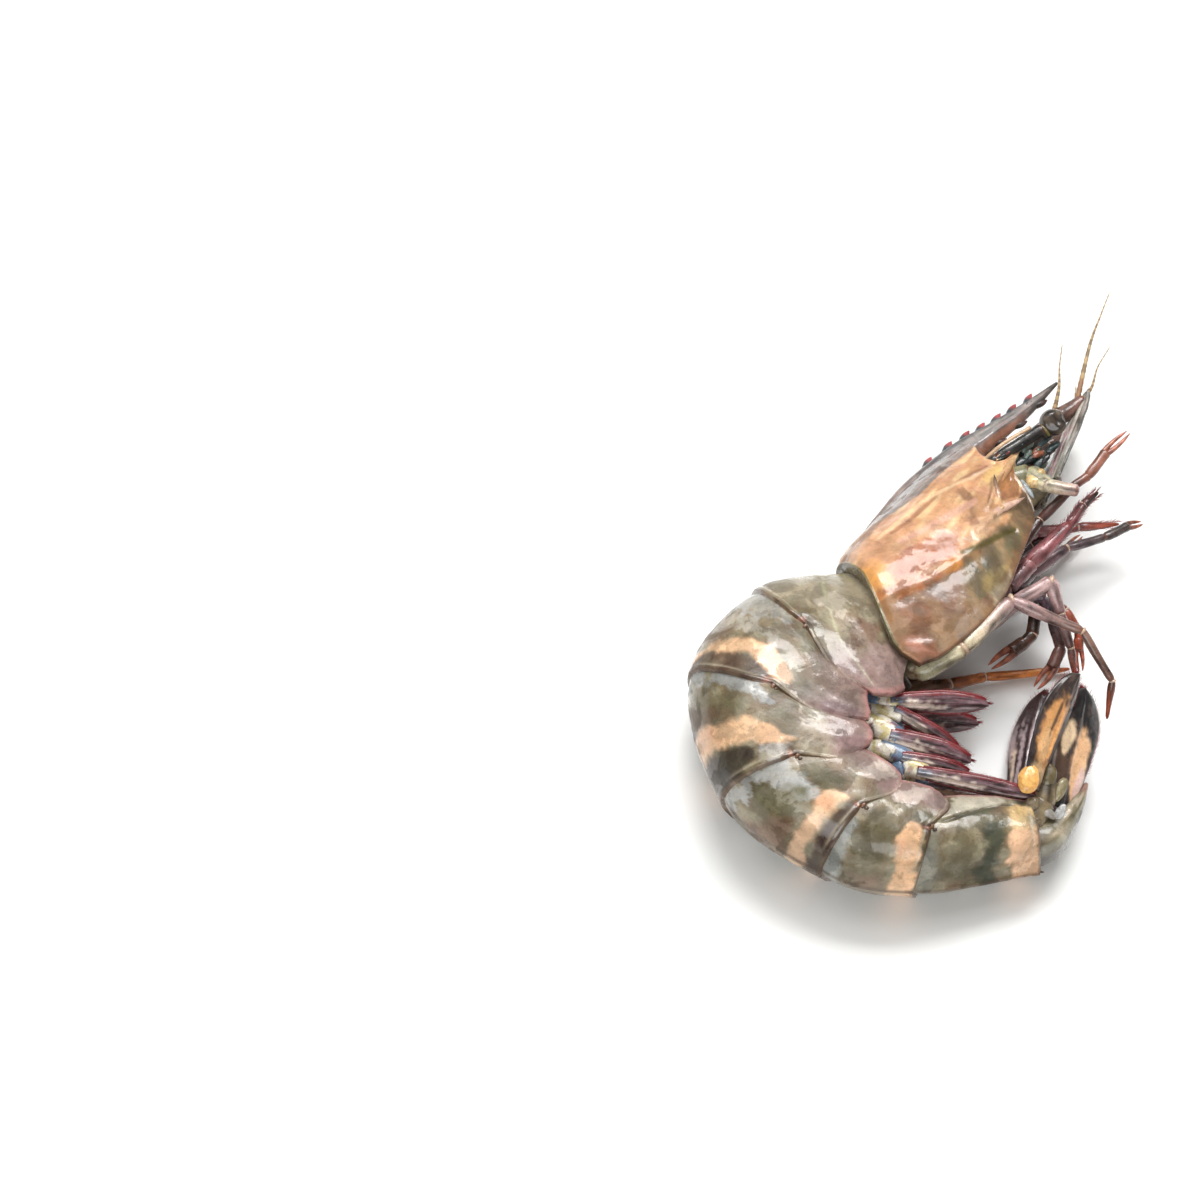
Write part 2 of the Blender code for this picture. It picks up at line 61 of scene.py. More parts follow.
# Body stations as in the solid model, in millimetres
ABDOMEN = {
    "back": [(-19.0, 15.6), (-34.6, 9.4), (-49.3, -12.2), (-42.4, -43.0), (-21.4, -59.8), (-1.4, -63.6),
             (26.2, -57.0)],
    "edge": [(-2.4, -19.6), (-11.2, -22.6), (-11.6, -31.0), (-11.2, -37.4), (-2.8, -43.4), (6.4, -45.4),
             (24.6, -44.4)],
    "half": [12.8, 14.2, 14.6, 13.8, 12.2, 10.6, 8.4],
    "middle": [12.8, 14.2, 14.6, 13.8, 12.2, 10.6, 8.4],
    "bow": [0.0, -1.2, -2.2, -0.3, 1.0, 0.6, 0.0],
    "keel": [0.0, 0.0, 0.0, 0.3, 0.8, 1.0, 1.2],
    "short": [0.0, 0.0, 0.0, 0.0, 0.0, 0.0, 0.0],
}
SHIELD = {
    "back": [(-18.8, 13.4), (-11.0, 23.6), (-2.0, 33.6), (6.0, 43.0), (14.0, 51.0)],
    "edge": [(-0.8, -17.4), (11.5, -8.5), (20.8, 2.2), (27.2, 17.5), (32.4, 31.5)],
    "half": [13.4, 14.4, 14.2, 12.6, 9.4],
    "middle": [13.4, 14.4, 14.4, 13.8, 13.4],
    "bow": [-1.2, 0.0, 0.0, 0.0, -1.0],
    "keel": [0.3, 0.5, 0.9, 1.4, 1.8],
    "short": [0.06, 0.16, 0.18, 0.15, 0.05],
}
# Cross section: share of the depth and t of the widest line, narrowing below it, t where the free
# plate starts, its thickness in millimetres, and the t that the keel spans
WIDEST, SIDE_TURN, TUCK_UNDER, BELLY, PLATE, KEEL_SPREAD = 0.46, 0.55, 0.24, 0.80, 1.3, 0.16
# Millimetres that a segment's rear stands out and its front tucks in, and stations that it overlaps
STEP_OUT, STEP_IN, OVERLAP = 0.35, 0.75, 0.16

# Millimetres that one station and one whole flank measure, for patches drawn on the shell
SEGMENT_RUN, SHIELD_RUN, GIRTH = 14.0, 13.3, 46.0


# Helpers for colours and directions

def rgb(red, green, blue):
    """Linear colour from 0 to 255 display values."""
    out = []
    for value in (red, green, blue):
        share = value / 255
        out.append(share / 12.92 if share <= 0.04045 else ((share + 0.055) / 1.055) ** 2.4)
    return np.array(out)


def ramp(x, low, high):
    """Smooth step from 0 at low to 1 at high."""
    t = np.clip((x - low) / (high - low), 0, 1)
    return t * t * (3 - 2 * t)


def field(points, size, seed=0.0):
    """Smooth noise from about -1 to 1, its lumps about size millimetres wide."""
    shift = Vector((seed * 17.3, seed * 5.1, seed * 9.7))
    return np.array([noise.noise(Vector(p) / size + shift) for p in points])


def knots(x, pairs):
    """Value at x on a line through (x, value) pairs."""
    xs, ys = zip(*pairs)
    return np.interp(x, xs, ys)


def lay(tint, colour, mask):
    """Colour laid over the tint by a mask."""
    m = np.clip(mask, 0, 1)[:, None]
    return tint * (1 - m) + colour[None] * m


def coats(tint, layers):
    """Several colours laid over the tint in turn, as (colour, mask) pairs."""
    for colour, mask in layers:
        tint = lay(tint, colour, mask)
    return tint


def plain(colour, count):
    """The same colour for every point."""
    return np.repeat(colour[None], count, 0)


def blend(first, last, shares):
    """Colours between first and last, one for each share."""
    return np.array([first * (1 - s) + last * s for s in shares])


def hump(x, width):
    """Smooth bump of height 1 round 0."""
    return np.exp(-(x / width) ** 2)


def unit(vector):
    """Vector of length 1 in the same direction."""
    return np.asarray(vector, float) / np.linalg.norm(vector)


def spot(u, v, centre, size, turn=0.0, soft=0.3, wobble=0.0):
    """Mask of a soft-edged oval patch, its edge broken by wobble."""
    du, dv = u - centre[0], v - centre[1]
    c, s = math.cos(turn), math.sin(turn)
    a, b = (du * c + dv * s) / size[0], (dv * c - du * s) / size[1]
    return 1 - ramp(np.hypot(a, b) + wobble, 1 - soft, 1 + soft)


def between(x, low, high, soft):
    """Mask of a strip from low to high."""
    return ramp(x, low - soft, low + soft) * (1 - ramp(x, high - soft, high + soft))


def leg_distance(x, y, start, end):
    """Distance from each point to the line between two points."""
    run = end - start
    share = np.clip(((x - start[0]) * run[0] + (y - start[1]) * run[1]) / (run @ run), 0, 1)
    return np.hypot(x - start[0] - share * run[0], y - start[1] - share * run[1])


def away(x, y, points):
    """Distance to a line through points."""
    points = np.asarray(points, float)
    return np.min([leg_distance(x, y, a, b) for a, b in zip(points, points[1:])], axis=0)


def patch(x, y, outline, soft=0.5, wobble=0.0):
    """Mask inside a closed outline, its edge soft and broken by wobble."""
    corners = np.asarray(outline, float)
    inside = np.zeros(len(x), bool)
    nearest = np.full(len(x), 1e9)
    for start, end in zip(corners, np.roll(corners, -1, 0)):
        crossing = (start[1] > y) != (end[1] > y)
        inside ^= crossing & (x < (end[0] - start[0]) * (y - start[1]) / (end[1] - start[1] + TINY)
                              + start[0])
        nearest = np.minimum(nearest, leg_distance(x, y, start, end))
    return ramp(np.where(inside, nearest, -nearest) + wobble, -soft, soft)


def stroke(x, y, points, half_width, soft=0.3, wobble=0.0):
    """Mask of a line through points."""
    return 1 - ramp(away(x, y, points) + wobble, half_width - soft, half_width + soft)


# Mesh helpers

class Batch:
    """Collects closed shapes that become one piece."""

    def __init__(self):
        self.points, self.tints, self.faces, self.count = [], [], [], 0

    def add(self, points, faces, tint):
        """Take in a closed shape; tint is one colour, or one for each point."""
        points = np.asarray(points, float)
        tint = np.asarray(tint, float)
        if tint.ndim == 1:
            tint = plain(tint, len(points))
        self.points.append(points)
        self.tints.append(tint)
        self.faces += [tuple(i + self.count for i in face) for face in faces]
        self.count += len(points)

    def finish(self, name, material, slot):
        """Make the piece from what was collected, in the frame of the part and in metres."""
        points = (np.concatenate(self.points) - CENTRE) * MM
        points[:, 2] = np.maximum(points[:, 2], FLOOR_GAP)
        mesh = bpy.data.meshes.new(name)
        mesh.from_pydata(points.tolist(), [], self.faces)
        mesh.update()
        layer = mesh.color_attributes.new("tint", "FLOAT_COLOR", "POINT")
        colours = np.concatenate(self.tints)
        layer.data.foreach_set("color", np.c_[np.clip(colours, 0, 1), np.ones(len(colours))].ravel())
        mesh.shade_smooth()
        mesh.materials.append(material)
        piece = bpy.data.objects.new(name, mesh)
        bpy.context.scene.collection.objects.link(piece)
        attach(piece, "root")
        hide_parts("tiger_prawn")


def ring_faces(rows, count, closed_ends=True):
    """Faces of a tube of rings, with or without its two end faces."""
    faces = []
    for row in range(rows - 1):
        for i in range(count):
            j = (i + 1) % count
            a = row * count
            faces.append((a + i, a + j, a + count + j, a + count + i))
    if closed_ends:
        faces.append(tuple(range(count))[::-1])
        faces.append(tuple((rows - 1) * count + i for i in range(count)))
    return faces


def frames_along(path):
    """Unit direction, level and upright vectors at each point of a path, without twist."""
    ahead = np.gradient(path, axis=0)
    ahead /= np.linalg.norm(ahead, axis=1)[:, None] + TINY
    level = np.cross(ahead[0], UP)
    if np.linalg.norm(level) < 1e-3:
        level = np.array([1.0, 0, 0])
    levels = []
    for direction in ahead:
        level = level - direction * (level @ direction)
        level = level / (np.linalg.norm(level) + TINY)
        levels.append(level)
    levels = np.array(levels)
    return ahead, levels, np.cross(levels, ahead)


def tube_points(path, wide, high, sides, factor=1.0):
    """Rings round a path; wide and high are half widths, level and upright."""
    path = np.asarray(path, float)
    _, level, upright = frames_along(path)
    wide, high = np.broadcast_to(wide, len(path)), np.broadcast_to(high, len(path))
    angle = 2 * np.pi * np.arange(sides) / sides
    ring = (level[:, None] * (wide[:, None] * np.cos(angle) * factor)[..., None]
            + upright[:, None] * (high[:, None] * np.sin(angle) * factor)[..., None])
    return (path[:, None] + ring).reshape(-1, 3)


def tube(batch, path, wide, high, tint, sides=12):
    """Closed tube along a path."""
    tint = np.asarray(tint, float)
    if tint.ndim == 2:
        tint = np.repeat(tint, sides, 0)
    batch.add(tube_points(path, wide, high, sides), ring_faces(len(path), sides), tint)


def ball(batch, centre, radii, tint, rows=14, sides=20, axis=(0, 0, 1), rough=0.0):
    """Closed oval ball, its surface broken by rough."""
    axis = unit(axis)
    centre = np.asarray(centre, float)
    turn = np.linspace(0.02, np.pi - 0.02, rows)
    path = centre - np.outer(np.cos(turn), axis) * radii[2]
    points = tube_points(path, radii[0] * np.sin(turn), radii[1] * np.sin(turn), sides)
    tint = plain(np.asarray(tint, float), len(points))
    if rough:
        bumps = field(points, min(radii) * 1.2, centre[0])
        points += (points - centre) * (bumps * rough)[:, None]
        tint = tint * (1 + 0.5 * field(points, 0.6, 3))[:, None]
    batch.add(points, ring_faces(rows, sides), tint)


def smooth_path(points, steps):
    """Points on a smooth curve through the given ones."""
    points = np.asarray(points, float)
    return curve(points, np.linspace(0, len(points) - 1, steps))


def curve(values, place):
    """Values at places along evenly spaced stations, on the solid model's smooth curve."""
    values = np.asarray(values, float)
    place = np.asarray(place, float)
    last = len(values) - 1
    index = np.clip(np.floor(place).astype(int), 0, last - 1)
    t = place - index
    padded = np.concatenate([[2 * values[0] - values[1]], values, [2 * values[-1] - values[-2]]])
    before, start, end, after = (padded[index + k] for k in range(4))
    if values.ndim > 1:
        t = t[..., None]
    slope_in, slope_out = (end - before) / 2, (after - start) / 2
    inside = ((2 * t ** 3 - 3 * t ** 2 + 1) * start + (t ** 3 - 2 * t ** 2 + t) * slope_in
              + (3 * t ** 2 - 2 * t ** 3) * end + (t ** 3 - t ** 2) * slope_out)
    return np.where(t < 0, start + t * slope_in, np.where(t > 1, end + (t - 1) * slope_out, inside))


def flank(t, depth, half, keel):
    """Depth below the back and half width of the shell, for t from 0 at the back to 1 at the edge."""
    angle = np.clip(t / SIDE_TURN, 0, 1) * np.pi / 2
    ridge = keel * np.maximum(0, 1 - t / KEEL_SPREAD)
    q = np.clip((t - SIDE_TURN) / (1 - SIDE_TURN), 0, 1)
    upper = t < SIDE_TURN
    reach = np.where(upper, WIDEST * depth * (1 - np.cos(angle)) - ridge,
                     depth * (WIDEST + (1 - WIDEST) * q))
    width = np.where(upper, half * np.sin(angle), half * (1 - TUCK_UNDER * q * q))
    return reach, width


def body_points(part, place, t, swell, lobe=1.0, inner=False):
    """Points of the shell or of its inner face, for grids of place and of t from -1 to 1."""
    back, edge = curve(part["back"], place), curve(part["edge"], place)
    edge = back + (edge - back) * np.asarray(lobe)[..., None]
    gap = np.linalg.norm(edge - back, axis=-1)
    down = (edge - back) / gap[..., None]
    depth = gap + swell
    half = curve(part["half"], place) + swell
    keel = curve(part["keel"], place)
    u = np.abs(t)
    reach, width = flank(np.maximum(u, BELLY) if inner else u, depth, half, keel)
    if inner:
        width = (width - PLATE) * np.minimum(u / BELLY, 1)
    outer_reach = flank(u, depth, half, keel)[0]
    lean = curve(part["bow"], place) * np.sin(np.pi * np.clip(outer_reach / depth, 0, 1))
    reach = reach - np.where(t < 0, curve(part["short"], place) * depth * t * t, 0)
    along = np.stack([-down[..., 1], down[..., 0]], -1)
    plan = back + down * (reach - swell)[..., None] + along * lean[..., None]
    height = curve(part["middle"], place) + np.sign(t) * width
    return np.concatenate([plan, height[..., None]], -1)


def shell_piece(batch, part, place, t, swell, lobe, relief, tint):
    """Closed shell: outer face, inner face and both end walls, from grids of rows by columns."""
    outer = body_points(part, place, t, swell, lobe)
    across, along = np.gradient(outer, axis=1), np.gradient(outer, axis=0)
    normal = np.cross(along, across)
    normal /= np.linalg.norm(normal, axis=-1)[..., None] + GUARD
    if normal[len(normal) // 2, -len(t[0]) // 4, 2] < 0:
        normal = -normal
    outer = outer + normal * relief[..., None]
    inner = body_points(part, place, t, swell, lobe, inner=True)
    rows, columns = t.shape
    ring = np.concatenate([outer, inner[:, ::-1]], 1)
    count = 2 * columns
    faces = ring_faces(rows, count, closed_ends=False)
    for row in (0, rows - 1):
        a = row * count
        for i in range(columns - 1):
            face = (a + i, a + i + 1, a + count - 2 - i, a + count - 1 - i)
            faces.append(face if row else face[::-1])
    flesh = plain(FLESH, rows * columns).reshape(rows, columns, 3)
    near = (np.abs(t) > BELLY)[..., None]
    inner_tint = np.where(near, tint, flesh)[:, ::-1]
    batch.add(ring.reshape(-1, 3), faces, np.concatenate([tint, inner_tint], 1).reshape(-1, 3))


# Named colours
OLIVE = rgb(142, 126, 98)
OLIVE_DARK = rgb(100, 90, 64)
OLIVE_GREEN = rgb(96, 96, 66)
OLIVE_PALE = rgb(178, 168, 144)
ORANGE = rgb(240, 192, 148)
ORANGE_PALE = rgb(246, 206, 164)
PINKISH = rgb(214, 160, 128)
BROWN = rgb(98, 74, 54)
# Pale grey-blue of the segment fronts: painted reflection of the wet film
PAINTED_SHEEN_BLUE = rgb(176, 178, 176)
MAUVE = rgb(150, 122, 118)
MAUVE_PALE = rgb(202, 180, 172)
LOBE_WHITE = rgb(208, 192, 180)
FLESH = rgb(200, 172, 152)
TEAL = rgb(60, 78, 78)


# Materials

def wet_material(name, grain=1.0, roughness=0.32, bump=1.0, subsurface=0.1, speckle=0.2, film=0.5,
                 coat_roughness=0.04, film_sheen_and_blotch=0.08):
    """Wet skin: painted tint broken by mottling, specks and dark blotches under a film of water with ragged
    edges, the tint lightened under the film as a painted reflection.
    """
    material = bpy.data.materials.new(name)
    material.use_nodes = True
    nodes, links = material.node_tree.nodes, material.node_tree.links
    shader = nodes["Principled BSDF"]
    tint = nodes.new("ShaderNodeAttribute")
    tint.attribute_name = "tint"
    place = nodes.new("ShaderNodeTexCoord")

    def texture(scale, detail, rough=0.6, distortion=0.0):
        node = nodes.new("ShaderNodeTexNoise")
        links.new(place.outputs["Object"], node.inputs["Vector"])
        node.inputs["Scale"].default_value = scale * grain
        node.inputs["Detail"].default_value = detail
        node.inputs["Roughness"].default_value = rough
        node.inputs["Distortion"].default_value = distortion
        return node.outputs["Fac"]

    def remap(source, low, high, to_low, to_high):
        node = nodes.new("ShaderNodeMapRange")
        links.new(source, node.inputs["Value"])
        for key, value in (("From Min", low), ("From Max", high), ("To Min", to_low), ("To Max", to_high)):
            node.inputs[key].default_value = value
        return node.outputs["Result"]

    def multiply(colour, factor):
        node = nodes.new("ShaderNodeMix")
        node.data_type = "RGBA"
        node.blend_type = "MULTIPLY"
        node.inputs["Factor"].default_value = 1.0
        links.new(colour, node.inputs["A"])
        links.new(factor, node.inputs["B"])
        return node.outputs["Result"]

    def raise_by(height, distance, strength, under=None):
        node = nodes.new("ShaderNodeBump")
        node.inputs["Distance"].default_value = distance
        node.inputs["Strength"].default_value = strength
        links.new(height, node.inputs["Height"])
        if under:
            links.new(under, node.inputs["Normal"])
        return node.outputs["Normal"]

    fine = texture(1400.0, 4.0)
    mottle = remap(texture(230.0, 6.0, 0.65), 0.3, 0.7, 0.76, 1.20)
    specks = remap(fine, 0.34, 0.46, 1.0 - speckle, 1.0)
    ragged = texture(115.0, 9.0, 0.62, 0.5)
    # Base colour lightened where the water film lies: painted reflection
    painted_film_sheen = remap(ragged, film - FILM_EDGE, film + FILM_EDGE, 0.90, 1.0 + film_sheen_and_blotch)
    blotches = remap(texture(62.0, 9.0, 0.6, 0.8), 0.50, 0.53, 1.0, 1.0 - 0.6 * film_sheen_and_blotch)
    colour = multiply(multiply(tint.outputs["Color"], mottle), specks)
    links.new(multiply(multiply(colour, painted_film_sheen), blotches), shader.inputs["Base Color"])
    lumps = texture(260.0, 3.0, 0.5, 0.2)
    skin = raise_by(lumps, 0.0007, 0.4 * bump, raise_by(fine, 0.0002, 0.25 * bump))
    links.new(skin, shader.inputs["Normal"])
    links.new(remap(lumps, 0.35, 0.65, roughness * 0.8, roughness * 1.4), shader.inputs["Roughness"])
    links.new(remap(ragged, film - FILM_EDGE, film + FILM_EDGE, 0.10, 1.0), shader.inputs["Coat Weight"])
    smooth = texture(150.0, 1.5, 0.4)
    water = raise_by(ragged, 0.0004, 0.35 * bump, raise_by(smooth, 0.0012, 0.4 * bump))
    links.new(water, shader.inputs["Coat Normal"])
    shader.inputs["Coat Roughness"].default_value = coat_roughness
    shader.inputs["Coat IOR"].default_value = 1.45
    shader.inputs["Specular IOR Level"].default_value = 0.4
    shader.inputs["Subsurface Weight"].default_value = subsurface
    shader.inputs["Subsurface Radius"].default_value = (1.0, 0.55, 0.35)
    shader.inputs["Subsurface Scale"].default_value = 0.0012
    return material


SHELL = wet_material("wet_shell", film=0.48, film_sheen_and_blotch=0.22)
HEAD_SHELL = wet_material("wet_head_shell", grain=0.9, speckle=0.15, film=0.45, film_sheen_and_blotch=0.14)
LIMB = wet_material("wet_limb", grain=1.8, speckle=0.35, bump=0.6, film=0.44, coat_roughness=0.08)
BLADE = wet_material("wet_blade", grain=1.8, speckle=0.3, bump=0.8, film=0.44, coat_roughness=0.08)
FAN = wet_material("wet_fan", grain=1.5, speckle=0.25, bump=0.8, film=0.45, coat_roughness=0.06)
EYE_SKIN = wet_material("eye_skin", grain=1.2, speckle=0.1, bump=0.3, film=0.3, coat_roughness=0.02,
                        roughness=0.2)
BRISTLE = wet_material("bristle", grain=2.0, speckle=0.1, bump=0.2, film=0.7, roughness=0.5)


# Abdomen

# Where each segment's rear edge runs, by t: hinge near 0.58, then a lobe that reaches back
REAR_EDGE = [(0, 0.03), (0.3, 0.07), (0.5, 0.05), (0.6, -0.02), (0.72, 0.14), (0.82, 0.28), (0.92, 0.22),
             (1, 0.0)]
LOBE_SIZE = [0.8, 1.0, 0.7, 0.55, 0.4, 0.0]
HINGE = 0.58
SIDE_FOLD = [(0.64, 5.1), (0.74, 5.33), (0.84, 5.55), (0.88, 5.75)]

